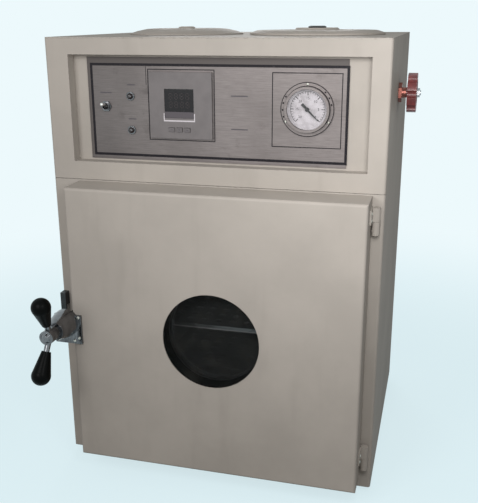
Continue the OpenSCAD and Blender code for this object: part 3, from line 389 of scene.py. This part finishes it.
def red_enamel(name):
    """Red paint on a cast wheel, rubbed through on its lobes."""
    finish = Finish(name, Coat_Weight=0.25, Coat_Roughness=0.2, IOR=1.5)
    rubbed = linear(176, 120, 112)
    clouds = finish.noise(90, detail=4, rough=0.6)
    rounded = finish.rounded(0.0012)
    worn = finish.edges(rounded) * finish.noise(240, detail=4, rough=0.7).between(0.5, 0.62)
    tone = finish.blend(clouds.between(0.3, 0.7), linear(132, 50, 48), linear(98, 36, 36))
    finish.feed("Base Color", finish.blend(worn * 0.7, tone, rubbed))
    finish.feed("Roughness", 0.36 + 0.16 * clouds + 0.2 * worn)
    finish.relief(finish.noise(260, detail=3, rough=0.6), 0.0003, 0.35, rounded)
    return finish.material


def pane(name, colour, alpha, rough=0.03, shine=0.2):
    """A glass pane: what lies behind shows through by its alpha, and a film of dust lies on it."""
    finish = Finish(name, IOR=1.5, Specular_IOR_Level=shine)
    dust = linear(120, 118, 110)
    film = finish.noise(30, detail=5, rough=0.7).between(0.45, 0.85)
    finish.feed("Base Color", finish.blend(film * 0.3, linear(*colour), dust))
    finish.feed("Roughness", rough + 0.1 * film)
    finish.feed("Alpha", alpha + 0.06 * film)
    return finish.material


def lamp_lens(name):
    """Dark red lens of an unlit pilot lamp, ribbed inside."""
    finish = Finish(name, Coat_Weight=0.6, Coat_Roughness=0.06, IOR=1.5)
    ribs = finish.node("ShaderNodeTexWave", {"wave_type": "BANDS", "bands_direction": "X"},
                       {"Vector": finish.place, "Scale": 320.0, "Distortion": 0.0}, "Fac")
    finish.feed("Base Color", finish.blend(ribs, linear(30, 12, 11), linear(20, 8, 8)))
    finish.feed("Roughness", 0.18 + 0.14 * ribs)
    finish.relief(ribs, 0.0002, 0.3)
    return finish.material


def printed_ink(name, colour):
    """Screen-printed ink: slightly uneven, with pinholes."""
    finish = Finish(name, Specular_IOR_Level=0.15)
    bare_metal = linear(104, 100, 102)
    thin = finish.noise(500, detail=3, rough=0.6).between(0.58, 0.75)
    finish.feed("Base Color", finish.blend(thin * 0.35, linear(*colour), bare_metal))
    finish.feed("Roughness", 0.5 + 0.2 * thin)
    finish.relief(thin, 0.00005, 0.3)
    return finish.material


def dial_card(name):
    """White card of the gauge, a little yellowed and marked."""
    finish = Finish(name)
    foxing = linear(150, 142, 138)
    clouds = finish.noise(120, detail=4, rough=0.65)
    spots = finish.noise(420, detail=3, rough=0.6).between(0.64, 0.74)
    tone = finish.blend(clouds.between(0.35, 0.75), linear(204, 199, 204), linear(172, 166, 170))
    finish.feed("Base Color", finish.blend(spots * 0.3, tone, foxing))
    finish.feed("Roughness", 0.45 + 0.15 * clouds)
    finish.relief(clouds, 0.00006, 0.2)
    return finish.material


def heater_mica(name):
    """Mica-covered heater band, browned by heat."""
    finish = Finish(name, Metallic=0.55)
    bright_flake = linear(176, 166, 146)
    flakes = finish.cells(190)
    scorch = finish.noise(24, detail=4, rough=0.6)
    tone = finish.blend(scorch.between(0.35, 0.7), linear(150, 138, 118), linear(104, 84, 62))
    finish.feed("Base Color", finish.blend(flakes * 0.5, tone, bright_flake))
    finish.feed("Roughness", 0.45 + 0.3 * flakes)
    finish.relief(flakes, 0.0002, 0.3, finish.rounded(0.0004))
    return finish.material


# Finishes of the record's material slots.
FINISHES = {
    "paint_beige": stove_paint("paint_beige", (182, 176, 168)),
    "sheet_steel": galvanised("sheet_steel"),
    "panel_aluminium": panel_aluminium("panel_aluminium"),
    "stainless": brushed("stainless", (150, 150, 150), (196, 197, 198), metal=1.0, rough=0.26),
    "chrome_plate": chrome_plate("chrome_plate"),
    "blackened_steel": blackened("blackened_steel"),
    "black_grip": moulded("black_grip", (8, 9, 8), rough=0.3, dust=0.04, shine=0.05),
    "rubber_foot": rubber("rubber_foot", (38, 37, 36)),
    "silicone_seal": rubber("silicone_seal", (150, 62, 50)),
    "mineral_wool": mineral_wool("mineral_wool"),
    "copper_pipe": tarnished("copper_pipe", (208, 128, 92), (118, 78, 58)),
    "brass_fitting": tarnished("brass_fitting", (150, 96, 86), (108, 62, 56), scale=80),
    "red_enamel": red_enamel("red_enamel"),
    "controller_plastic": moulded("controller_plastic", (112, 107, 107), rough=0.5, grain=0.6, dust=0.2),
    "smoked_window": moulded("smoked_window", (21, 18, 20), rough=0.2, coat=0.06, dust=0.05, shine=0.3),
    "key_plastic": moulded("key_plastic", (104, 99, 100), rough=0.5, grain=0.4, dust=0.2),
    "dial_white": dial_card("dial_white"),
    "needle_black": printed_ink("needle_black", (22, 21, 24)),
    "clear_glass": pane("clear_glass", (200, 204, 204), alpha=0.05),
    "tinted_glass": pane("tinted_glass", (6, 7, 5), alpha=0.34, rough=0.02, shine=0.06),
    "lamp_lens": lamp_lens("lamp_lens"),
    "black_plastic": moulded("black_plastic", (32, 32, 33), rough=0.42, grain=0.5, dust=0.15),
    "heater_mica": heater_mica("heater_mica"),
}

# Finishes of the pieces drawn here, and of the switch's lever.
print_black = printed_ink("print_black", (30, 27, 31))
print_white = printed_ink("print_white", (206, 202, 206))
print_grey = printed_ink("print_grey", (92, 88, 92))
# Painted shadow: dark ink for the band that the fascia's lip shades on the panel.
painted_shadow_margin = printed_ink("painted_shadow_margin", (96, 91, 89))
# Painted highlight: near-white finish for the bead on the shelf's edge.
painted_highlight_edge = brushed("painted_highlight_edge", (222, 223, 223), (244, 244, 244), metal=0.2, rough=0.3)
segment_red = moulded("segment_red", (36, 20, 21), rough=0.3)
nickel = tarnished("nickel", (230, 228, 224), (196, 193, 188), scale=200, rough=0.34)
zinc_screw = tarnished("zinc_screw", (196, 194, 186), (126, 120, 108), scale=200, rough=0.3)


def dress_cad_nodes():
    """Gives every CAD node the finish of its slot; only the switch's lever is nickelled."""
    for part in frame["record"]["subparts"]:
        name = part["node"]
        materials = frame["nodes"][name].data.materials
        materials.clear()
        materials.append(nickel if name == "switch_lever" else FINISHES[part["material_slot"]])


dress_cad_nodes()

# ---------------------------------------------------------------- drawing of pieces

# Corners of each side of a box whose eight corners are counted with Z fastest and X slowest.
BOX_SIDES = ((0, 1, 3, 2), (4, 6, 7, 5), (0, 4, 5, 1), (2, 3, 7, 6), (0, 2, 6, 4), (1, 5, 7, 3))


class Piece:
    """A mesh drawn in millimetres in the cabinet's frame."""

    def __init__(self, name):
        self.name = name
        self.mesh = bmesh.new()

    def slab(self, x, y, z, turn=None):
        """A box between pairs of limits; turn is a matrix applied to it."""
        corners = [Vector((a, b, c)) for a in x for b in y for c in z]
        if turn is not None:
            corners = [turn @ corner for corner in corners]
        points = [self.mesh.verts.new(corner) for corner in corners]
        for side in BOX_SIDES:
            self.mesh.faces.new([points[i] for i in side])

    def sweep(self, rings):
        """A closed skin through rings of equal counts, capped at both ends."""
        rows = [[self.mesh.verts.new(point) for point in ring] for ring in rings]
        count = len(rows[0])
        for a, b in zip(rows, rows[1:]):
            for i in range(count):
                j = (i + 1) % count
                self.mesh.faces.new((a[i], a[j], b[j], b[i]))
        self.mesh.faces.new(rows[0][::-1])
        self.mesh.faces.new(rows[-1])

    def prism(self, outline, y, centre):
        """An outline of (x, z) points round a centre, between two stations along Y."""
        self.sweep([[Vector((centre.x + x, station, centre.z + z)) for x, z in outline]
                    for station in y])

    def lathe(self, profile, place, sides, ribs=None):
        """A profile of (radius, height) turned round the Z axis of a placing matrix."""
        rings = []
        for radius, height in profile:
            ring = []
            for i in range(sides):
                angle = 2 * math.pi * i / sides
                r = radius if ribs is None else ribs(radius, angle)
                ring.append(place @ Vector((r * math.cos(angle), r * math.sin(angle), height)))
            rings.append(ring)
        self.sweep(rings)

    def finish(self, body, slot, material, smooth=None):
        """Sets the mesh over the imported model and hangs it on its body."""
        for vert in self.mesh.verts:
            vert.co = vert.co * MM + CABINET_ORIGIN
        bmesh.ops.recalc_face_normals(self.mesh, faces=self.mesh.faces[:])
        data = bpy.data.meshes.new(self.name)
        self.mesh.to_mesh(data)
        self.mesh.free()
        data.materials.append(material)
        made = bpy.data.objects.new(self.name, data)
        bpy.context.scene.collection.objects.link(made)
        if smooth is not None:
            data.polygons.foreach_set("use_smooth", [True] * len(data.polygons))
            data.set_sharp_from_angle(angle=math.radians(smooth))
        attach(made, body)


def facing(direction, place):
    """A matrix that sets a lathe's Z axis along a direction at a place."""
    turn = Vector(direction).to_track_quat("Z", "Y").to_matrix().to_4x4()
    return Matrix.Translation(place) @ turn


def frame_bars(piece, x, z, width, y):
    """Four bars that make a rectangle."""
    piece.slab((x[0], x[0] + width), y, z)
    piece.slab((x[1] - width, x[1]), y, z)
    piece.slab((x[0] + width, x[1] - width), y, (z[1] - width, z[1]))
    piece.slab((x[0] + width, x[1] - width), y, (z[0], z[0] + width))


SCREW_SIDES = 24
SCREW_LET_IN = 0.2
# Edges sharper than this stay sharp on a screw, in degrees.
SCREW_SMOOTH = 30


def pan_screw(piece, place, direction, radius, height, turn):
    """A pan-head screw with a crossed recess, left between four small blocks on its head."""
    at = facing(direction, place) @ Matrix.Rotation(turn, 4, "Z")
    profile = [(radius, -SCREW_LET_IN), (radius, height * 0.35), (radius * 0.9, height * 0.7),
               (radius * 0.6, height * 0.95), (radius * 0.5, height)]
    piece.lathe(profile, at, SCREW_SIDES)
    block = (radius * 0.16, radius * 0.52)
    for quarter in range(4):
        piece.slab(block, block, (height * 0.6, height * 1.02),
                   at @ Matrix.Rotation(quarter * math.pi / 2, 4, "Z"))


# How far print stands proud of a face, and how far it is let into it.
INK = 0.14
MEDIUM_INK = 0.12
THIN_INK = 0.1
LET_IN = 0.02


def printed_on(face, ink=INK):
    """Stations along Y of print on a face: proud by the ink, and let in by a hair."""
    return face - ink, face + LET_IN


# ---------------------------------------------------------------- control panel

panel_low, panel_high = cabinet_box("control_panel")
panel_face = panel_low.y
lamp_left = cabinet_box("lamp_lenses")[0].x
switch_x = middle("switch_body").x
controller_face = cabinet_box("controller_body")[0].y
window_low, window_high = cabinet_box("controller_window")

# Where the panel's print and its painted shadows lie, left to right and from the base up.
BORDER_X = (-190.5, 196)
BORDER_Z = (506, 643)
BORDER_WIDTH = 3.8
SHADOW_BAND_INSET = 0.3
LINE_WIDTH = 1.3
CONTROLLER_LINE_X = (-99.8, 2.8)
CONTROLLER_LINE_Z = (531.8, 635.4)
# A thin painted shadow line down the left of the controller, drawn in the black ink.
CONTROLLER_SHADOW_X = (-102.6, -101.8)
CONTROLLER_SHADOW_Z = (612, 638.6)
GAUGE_LINE_X = (87.2, 187)
GAUGE_LINE_Z = (528.2, 633)

# Middle along X and Z, and half the length, of the grey bar that stands for each label.
LABEL_PLACES = ((39.5, 598.7, 12.5), (39.5, 551.2, 12.5), (lamp_left + 6, 612, 6),
                (lamp_left + 6, 562, 6), (switch_x, 600, 9))
LABEL_HALF_HEIGHT = 0.9

# The grey strip on the window, measured from the window's foot and sides.
STRIP_INSET = 0.4
STRIP_FOOT = 0.3
STRIP_TOP = 9

# The white line below the window and up both its sides, measured from the same foot and sides.
FOOT_LINE_INNER = 0.2
FOOT_LINE_OUTER = 1.6
FOOT_LINE_RISE = 7
FOOT_LINE_TOP = 3
FOOT_LINE_DROP = 5

# The digits, measured from the window's left side and its top.
DIGIT_WIDTH = 4.6
DIGIT_HEIGHT = 8.4
DIGIT_PITCH = 8.6
DIGITS = 4
FIRST_DIGIT = 9.5
DIGIT_ROW_DROPS = (15, 27)
SEGMENT_HALF = 0.45
# Half the length of an upright segment, as a share of the digit's height.
UPRIGHT_HALF = 0.18


def print_panel():
    """The panel's printed border, a painted shadow on the margin above and left of it, the thin lines
    with a painted shadow line beside the controller, and the label places.
    """
    y = printed_on(panel_face)
    border = Piece("panel_border_print")
    frame_bars(border, BORDER_X, BORDER_Z, BORDER_WIDTH, y)
    border.finish("cabinet", "panel_aluminium", print_black)
    # Painted shadow along the margin above and to the left of the border.
    margin = Piece("panel_margin_painted_shadow")
    margin.slab((panel_low.x + SHADOW_BAND_INSET, panel_high.x - SHADOW_BAND_INSET), y,
                (BORDER_Z[1], panel_high.z - SHADOW_BAND_INSET))
    margin.slab((panel_low.x + SHADOW_BAND_INSET, BORDER_X[0]), y, BORDER_Z)
    margin.finish("cabinet", "panel_aluminium", painted_shadow_margin)
    lines = Piece("panel_print_and_shadow_lines")
    frame_bars(lines, CONTROLLER_LINE_X, CONTROLLER_LINE_Z, LINE_WIDTH, y)
    frame_bars(lines, GAUGE_LINE_X, GAUGE_LINE_Z, LINE_WIDTH, y)
    # Painted shadow line beside the controller.
    lines.slab(CONTROLLER_SHADOW_X, y, CONTROLLER_SHADOW_Z)
    lines.finish("cabinet", "panel_aluminium", print_black)
    labels = Piece("label_place_print")
    for x, z, half in LABEL_PLACES:
        labels.slab((x - half, x + half), y, (z - LABEL_HALF_HEIGHT, z + LABEL_HALF_HEIGHT))
    labels.finish("cabinet", "panel_aluminium", print_grey)


def print_controller():
    """The grey strip along the foot of the controller's window, and the white line round it."""
    left = window_low.x
    right = window_high.x
    foot = window_low.z
    strip = Piece("window_strip_print")
    strip.slab((left + STRIP_INSET, right - STRIP_INSET), printed_on(window_low.y, THIN_INK),
               (foot + STRIP_FOOT, foot + STRIP_TOP))
    strip.finish("cabinet", "smoked_window", print_grey)
    white = Piece("window_foot_print")
    y = printed_on(controller_face)
    arms = (foot - FOOT_LINE_TOP, foot + FOOT_LINE_RISE)
    white.slab((left - FOOT_LINE_OUTER, left - FOOT_LINE_INNER), y, arms)
    white.slab((right + FOOT_LINE_INNER, right + FOOT_LINE_OUTER), y, arms)
    white.slab((left - FOOT_LINE_OUTER, right + FOOT_LINE_OUTER), y,
               (foot - FOOT_LINE_DROP, foot - FOOT_LINE_TOP))
    white.finish("cabinet", "controller_plastic", print_white)


def print_segments():
    """Two rows of unlit seven-segment digits, laid on the face of the smoked window."""
    piece = Piece("display_segments")
    y = printed_on(window_low.y, MEDIUM_INK)
    half = SEGMENT_HALF
    upright = DIGIT_HEIGHT * UPRIGHT_HALF
    for drop in DIGIT_ROW_DROPS:
        foot = window_high.z - drop
        for column in range(DIGITS):
            x = window_low.x + FIRST_DIGIT + column * DIGIT_PITCH
            left = x - DIGIT_WIDTH / 2
            right = x + DIGIT_WIDTH / 2
            for level in (0, 0.5, 1):
                z = foot + level * DIGIT_HEIGHT
                piece.slab((left + 2 * half, right - 2 * half), y, (z - half, z + half))
            for edge in (left, right):
                for level in (0.25, 0.75):
                    z = foot + level * DIGIT_HEIGHT
                    piece.slab((edge - half, edge + half), y, (z - upright, z + upright))
    piece.finish("cabinet", "smoked_window", segment_red)


def mark_keys():
    """A plain symbol on each of the controller's keys: a bar, and arrows down and up."""
    outlines = {
        "set": [(-1.6, -0.35), (1.6, -0.35), (1.6, 0.35), (-1.6, 0.35)],
        "down": [(0, -1.3), (1.4, 1.1), (-1.4, 1.1)],
        "up": [(-1.4, -1.1), (1.4, -1.1), (0, 1.3)],
    }
    for key, outline in outlines.items():
        node = "controller_key_" + key
        piece = Piece("key_mark_" + key)
        piece.prism(outline, printed_on(cabinet_box(node)[0].y, THIN_INK), middle(node))
        piece.finish("key_" + key, "key_plastic", print_grey)


print_panel()
print_controller()
print_segments()
mark_keys()

# ---------------------------------------------------------------- vacuum gauge

gauge_at = middle("gauge_dial")
dial_face = cabinet_box("gauge_dial")[0].y
FLANGE_THICK = 2.0
flange_face = panel_face - FLANGE_THICK

SCALE_START = math.radians(-45)
SCALE_SWEEP = math.radians(270)
SCALE_END = 30
NUMBER_STEP = 5
SCALE_ARC = (24.4, 24.9)
TICK_OUTER = 24.6

# Inner radius and half the width of a tick, at a number and between numbers.
LONG_TICK = (19.5, 0.5)
SHORT_TICK = (22.0, 0.25)

NUMBER_RADIUS = 15.4
NUMBER_SIZE = 5.2
NUMBER_HALF_THICK = 0.06
NUMBER_PROUD = 0.05

# Screws, lines and index marks of the flange; the turns are in degrees.
FLANGE_SCREW_RADIUS = 35
FLANGE_SCREW_TURNS = (90, 210, 330)
FLANGE_LINES = ((36.9, 37.9), (32.1, 33.0))
INDEX_MARK = (33.9, 36.1)
INDEX_HALF_TURN = 2
INDEX_TURNS = (150, 166, 182, 198, 12, 28, 44)


def scale_angle(reading):
    """Angle of a reading on the scale, from nothing at half past four round the left way."""
    return SCALE_START + SCALE_SWEEP * reading / SCALE_END


def on_gauge(radius, angle, y):
    """A point at a radius and an angle round the gauge's middle."""
    return Vector((gauge_at.x + radius * math.cos(angle), y, gauge_at.z + radius * math.sin(angle)))


def print_arc(piece, radii, y, start=0.0, sweep=2 * math.pi, steps=96):
    """A flat printed arc between two radii round the gauge's middle."""
    inner, outer = radii
    rings = []
    for i in range(steps + 1):
        angle = start + sweep * i / steps
        rings.append([on_gauge(inner, angle, y[0]), on_gauge(outer, angle, y[0]),
                      on_gauge(outer, angle, y[1]), on_gauge(inner, angle, y[1])])
    piece.sweep(rings)


def mark_dial():
    """Ticks and an arc on the dial's card."""
    piece = Piece("dial_marks")
    y = printed_on(dial_face, THIN_INK)
    for reading in range(SCALE_END + 1):
        inner, half = LONG_TICK if reading % NUMBER_STEP == 0 else SHORT_TICK
        turn = Matrix.Rotation(-scale_angle(reading), 4, "Y")
        piece.slab((inner, TICK_OUTER), (y[0] - gauge_at.y, y[1] - gauge_at.y), (-half, half),
                   Matrix.Translation(gauge_at) @ turn)
    print_arc(piece, SCALE_ARC, y, SCALE_START, SCALE_SWEEP, 72)
    piece.finish("cabinet", "dial_white", print_black)


def number_dial():
    """Plain numbers from 0 to 30 round the dial, turned from outlines into a mesh."""
    piece = Piece("dial_numbers")
    for reading in range(0, SCALE_END + 1, NUMBER_STEP):
        curve = bpy.data.curves.new("number", "FONT")
        curve.body = str(reading)
        curve.size = NUMBER_SIZE
        curve.align_x = "CENTER"
        curve.align_y = "CENTER"
        curve.extrude = NUMBER_HALF_THICK
        curve.resolution_u = 2
        number = bpy.data.objects.new("number", curve)
        bpy.context.scene.collection.objects.link(number)
        shape = bpy.data.meshes.new_from_object(number)
        place = on_gauge(NUMBER_RADIUS, scale_angle(reading), dial_face - NUMBER_PROUD)
        shape.transform(Matrix.Translation(place) @ Matrix.Rotation(math.pi / 2, 4, "X"))
        piece.mesh.from_mesh(shape)
        bpy.data.objects.remove(number)
        bpy.data.curves.remove(curve)
        bpy.data.meshes.remove(shape)
    piece.finish("cabinet", "dial_white", print_black)


def fit_gauge_flange():
    """Three screws, two dark lines and a few index marks on the gauge's flange."""
    screws = Piece("gauge_screws")
    for degrees in FLANGE_SCREW_TURNS:
        angle = math.radians(degrees)
        place = on_gauge(FLANGE_SCREW_RADIUS, angle, flange_face)
        pan_screw(screws, place, (0, -1, 0), radius=1.9, height=1.1, turn=angle)
    screws.finish("cabinet", "chrome_plate", zinc_screw, SCREW_SMOOTH)
    lines = Piece("gauge_ring_print")
    y = printed_on(flange_face, MEDIUM_INK)
    for radii in FLANGE_LINES:
        print_arc(lines, radii, y)
    for degrees in INDEX_TURNS:
        print_arc(lines, INDEX_MARK, y, math.radians(degrees - INDEX_HALF_TURN),
                  math.radians(2 * INDEX_HALF_TURN), 4)
    lines.finish("cabinet", "panel_aluminium", print_black)


mark_dial()
number_dial()
fit_gauge_flange()

# ---------------------------------------------------------------- roof vents

KNOB_HEIGHT = 3.0
KNOB_SIDES = 96
KNOB_SMOOTH = 40
KNOB_RIBS = 24
KNOB_RIB_DEPTH = 0.7


def ribbed(radius, angle):
    """Radius of a ribbed knob at an angle."""
    return radius - KNOB_RIB_DEPTH * (0.5 + 0.5 * math.cos(KNOB_RIBS * angle))


def fit_vent_knobs():
    """A ribbed skirt and a crown over each cap's knob."""
    for side, slot, radius in (("left", "paint_beige", 13.0), ("right", "black_plastic", 13.5)):
        low, high = cabinet_box(side + "_vent_cap")
        foot = high.z - KNOB_HEIGHT
        place = Matrix.Translation(((low.x + high.x) / 2, (low.y + high.y) / 2, foot))
        profile = [(radius + 0.5, 0.05), (radius + 0.9, 0.5), (radius + 0.9, 1.7), (radius + 0.3, 2.1),
                   (radius * 0.8, KNOB_HEIGHT + 0.03), (radius * 0.3, KNOB_HEIGHT + 0.04)]
        piece = Piece(side + "_vent_knob")
        piece.lathe(profile, place, KNOB_SIDES, ribbed)
        piece.finish(side + "_vent", slot, FINISHES[slot], KNOB_SMOOTH)


fit_vent_knobs()

# ---------------------------------------------------------------- latch and hinges

# The face of the latch's foot, and the places of its screws as (x, z).
LATCH_PLATE_FACE = -61.0
LATCH_SCREWS = ((-198, 231.5), (-198, 265.2), (-233, 226.5), (-206, 226.5))

# The hinge leaves on the door's side.
LEAF_HEIGHT = 20
LEAF_THICK = 2.5
LEAF_SCREW_INSET = 5
LEAF_SCREW_BACK = 6


def fit_latch_screws():
    """Four pan-head screws on the foot of the latch."""
    piece = Piece("latch_plate_screws")
    for x, z in LATCH_SCREWS:
        place = Vector((x, LATCH_PLATE_FACE, z))
        pan_screw(piece, place, (0, -1, 0), radius=2.4, height=1.6, turn=x + z)
    piece.finish("door", "chrome_plate", zinc_screw, SCREW_SMOOTH)


def fit_hinge_screws():
    """Low pan-head screws in the hinge leaves, on the door's side."""
    low, high = cabinet_box("door_hinges")
    door_side = cabinet_box("door_pan")[1].x
    piece = Piece("hinge_leaf_screws")
    for foot in (low.z, high.z - LEAF_HEIGHT):
        for z in (foot + LEAF_SCREW_INSET, foot + LEAF_HEIGHT - LEAF_SCREW_INSET):
            place = Vector((door_side + LEAF_THICK, low.y + LEAF_SCREW_BACK, z))
            pan_screw(piece, place, (1, 0, 0), radius=2.4, height=0.9, turn=z)
    piece.finish("door", "paint_beige", zinc_screw, SCREW_SMOOTH)


fit_latch_screws()
fit_hinge_screws()

# ---------------------------------------------------------------- shelf

# The painted highlight bead's ends, front and height, measured from the shelf's box.
BEAD_INSET = 0.2
BEAD_PROUD = 0.25
BEAD_LET_IN = 0.1
BEAD_FOOT = 0.1
BEAD_TOP = 2.1


def fit_shelf_edge():
    """A near-white bead along the front edge of the upper shelf: a painted highlight where the edge
    catches the light.
    """
    low, high = cabinet_box("upper_shelf")
    piece = Piece("upper_shelf_edge")
    piece.slab((low.x + BEAD_INSET, high.x - BEAD_INSET), (low.y - BEAD_PROUD, low.y + BEAD_LET_IN),
               (low.z + BEAD_FOOT, low.z + BEAD_TOP))
    piece.finish("shelf_upper", "stainless", painted_highlight_edge)


fit_shelf_edge()

# ---------------------------------------------------------------- rear

# The rear panel's sheet, without the hoods of its louvres.
REAR_SHEET = 1.5
REAR_SCREW_INSET = 8
REAR_SCREW_HEIGHTS = (40, 190, 340, 490, 640)

# The inlet's pins as (x, z) from its middle, with their root and tip measured from its back.
INLET_PINS = ((-7, -1), (0, 3), (7, -1))
PIN_HALF_WIDTH = 1.1
PIN_HALF_HEIGHT = 3.1
PIN_ROOT = 16
PIN_TIP = 3.8
INLET_SCREW_OFFSET = 16.5


def fit_inlet():
    """Three pins in the mains inlet, and the two screws of its flange."""
    back = cabinet_box("mains_inlet")[1].y
    at = middle("mains_inlet")
    pins = Piece("inlet_pins")
    for across, up in INLET_PINS:
        x = at.x + across
        z = at.z + up
        pins.slab((x - PIN_HALF_WIDTH, x + PIN_HALF_WIDTH), (back - PIN_ROOT, back - PIN_TIP),
                  (z - PIN_HALF_HEIGHT, z + PIN_HALF_HEIGHT))
    pins.finish("cabinet", "brass_fitting", FINISHES["brass_fitting"])
    screws = Piece("inlet_screws")
    for side in (-1, 1):
        place = Vector((at.x + side * INLET_SCREW_OFFSET, back, at.z))
        pan_screw(screws, place, (0, 1, 0), radius=1.7, height=1.0, turn=side)
    screws.finish("cabinet", "black_plastic", zinc_screw, SCREW_SMOOTH)


def fit_rear_screws():
    """Pan-head screws up both sides of the rear panel."""
    low, high = cabinet_box("rear_panel")
    piece = Piece("rear_screws")
    for x in (low.x + REAR_SCREW_INSET, high.x - REAR_SCREW_INSET):
        for z in REAR_SCREW_HEIGHTS:
            place = Vector((x, low.y + REAR_SHEET, z))
            pan_screw(piece, place, (0, 1, 0), radius=3.2, height=1.9, turn=x + z)
    piece.finish("cabinet", "sheet_steel", zinc_screw, SCREW_SMOOTH)


fit_inlet()
fit_rear_screws()

# ---------------------------------------------------------------- floor, light and world

PALE_NEAR = linear(228, 247, 252)
PALE_FAR = linear(237, 249, 252)
# The floor's colour for the light that it throws back on the oven.
FLOOR_LIT = linear(150, 150, 148)
FLOOR_CORNERS = ((-40, -8, 0), (40, -8, 0), (40, 60, 0), (-40, 60, 0))
AMBIENT = (0.92, 0.905, 0.89, 1.0)
AMBIENT_STRENGTH = 0.37
LAMP_WHITE = (1.0, 0.985, 0.985)
BACK_LAMP_WHITE = (1.0, 0.99, 0.985)


def seen_rays(tree):
    """1 where the eye, and 1 where a mirror or a glass that it looks at, sees the background."""
    camera = tree.node("ShaderNodeLightPath", take="Is Camera Ray")
    return camera, camera.sibling("Is Glossy Ray") + camera.sibling("Is Transmission Ray")


def make_floor():
    """Pale floor that keeps the shadow near the oven and runs into the backdrop further off."""
    material = bpy.data.materials.new("pale_floor")
    tree = Tree(material)
    camera, mirrored = seen_rays(tree)
    place = tree.node("ShaderNodeTexCoord", take="Object")
    away = tree.node("ShaderNodeVectorMath", {"operation": "LENGTH"}, {0: place}, "Value")
    far = away.between(0.45, 1.5)
    matt_colour = tree.blend(camera, FLOOR_LIT, PALE_NEAR)
    matt = tree.node("ShaderNodeBsdfDiffuse", {}, {"Color": matt_colour})
    glow_colour = tree.blend(far, PALE_NEAR, PALE_FAR)
    glow = tree.node("ShaderNodeEmission", {}, {"Color": glow_colour, "Strength": 1.0})
    glowing = camera * (0.78 + 0.22 * far) + mirrored
    mixed = tree.node("ShaderNodeMixShader", {}, {0: glowing, 1: matt, 2: glow})
    tree.node("ShaderNodeOutputMaterial", {}, {"Surface": mixed})
    mesh = bpy.data.meshes.new("floor")
    mesh.from_pydata(FLOOR_CORNERS, [], [(0, 1, 2, 3)])
    mesh.materials.append(material)
    floor = bpy.data.objects.new("floor", mesh)
    bpy.context.scene.collection.objects.link(floor)


def make_world():
    """Soft light from all round, behind a pale backdrop."""
    world = bpy.data.worlds.new("studio")
    tree = Tree(world)
    camera, mirrored = seen_rays(tree)
    wall = tree.node("ShaderNodeBackground", {}, {"Color": PALE_FAR, "Strength": 1.0})
    soft = tree.node("ShaderNodeBackground", {}, {"Color": AMBIENT, "Strength": AMBIENT_STRENGTH})
    mixed = tree.node("ShaderNodeMixShader", {}, {0: camera + mirrored, 1: soft, 2: wall})
    tree.node("ShaderNodeOutputWorld", {}, {"Surface": mixed})
    bpy.context.scene.world = world


def soft_lamp(name, place, aim, size, watts, colour):
    """A square lamp at a place, turned to the point that it aims at, in metres."""
    lamp = bpy.data.lights.new(name, "AREA")
    lamp.shape = "RECTANGLE"
    lamp.size = size
    lamp.size_y = size
    lamp.energy = watts
    lamp.color = colour
    made = bpy.data.objects.new(name, lamp)
    made.matrix_world = facing(Vector(place) - Vector(aim), Vector(place))
    bpy.context.scene.collection.objects.link(made)


def light_studio():
    """A small key lamp at the front right, a fill lamp at the front left, and a large one behind."""
    soft_lamp("key_lamp", place=(0.347, -0.775, 0.755), aim=(0.5, -0.25, 0.66),
              size=0.3, watts=3.6, colour=LAMP_WHITE)
    soft_lamp("fill_lamp", place=(-0.35, -1.3, 0.95), aim=(0.0, -0.25, 0.6),
              size=0.5, watts=6.2, colour=LAMP_WHITE)
    soft_lamp("back_lamp", place=(-0.4, 1.7, 0.9), aim=(0.0, 0.2, 0.35),
              size=0.8, watts=9.0, colour=BACK_LAMP_WHITE)
    bpy.context.scene.view_settings.view_transform = "Standard"


make_floor()
make_world()
light_studio()
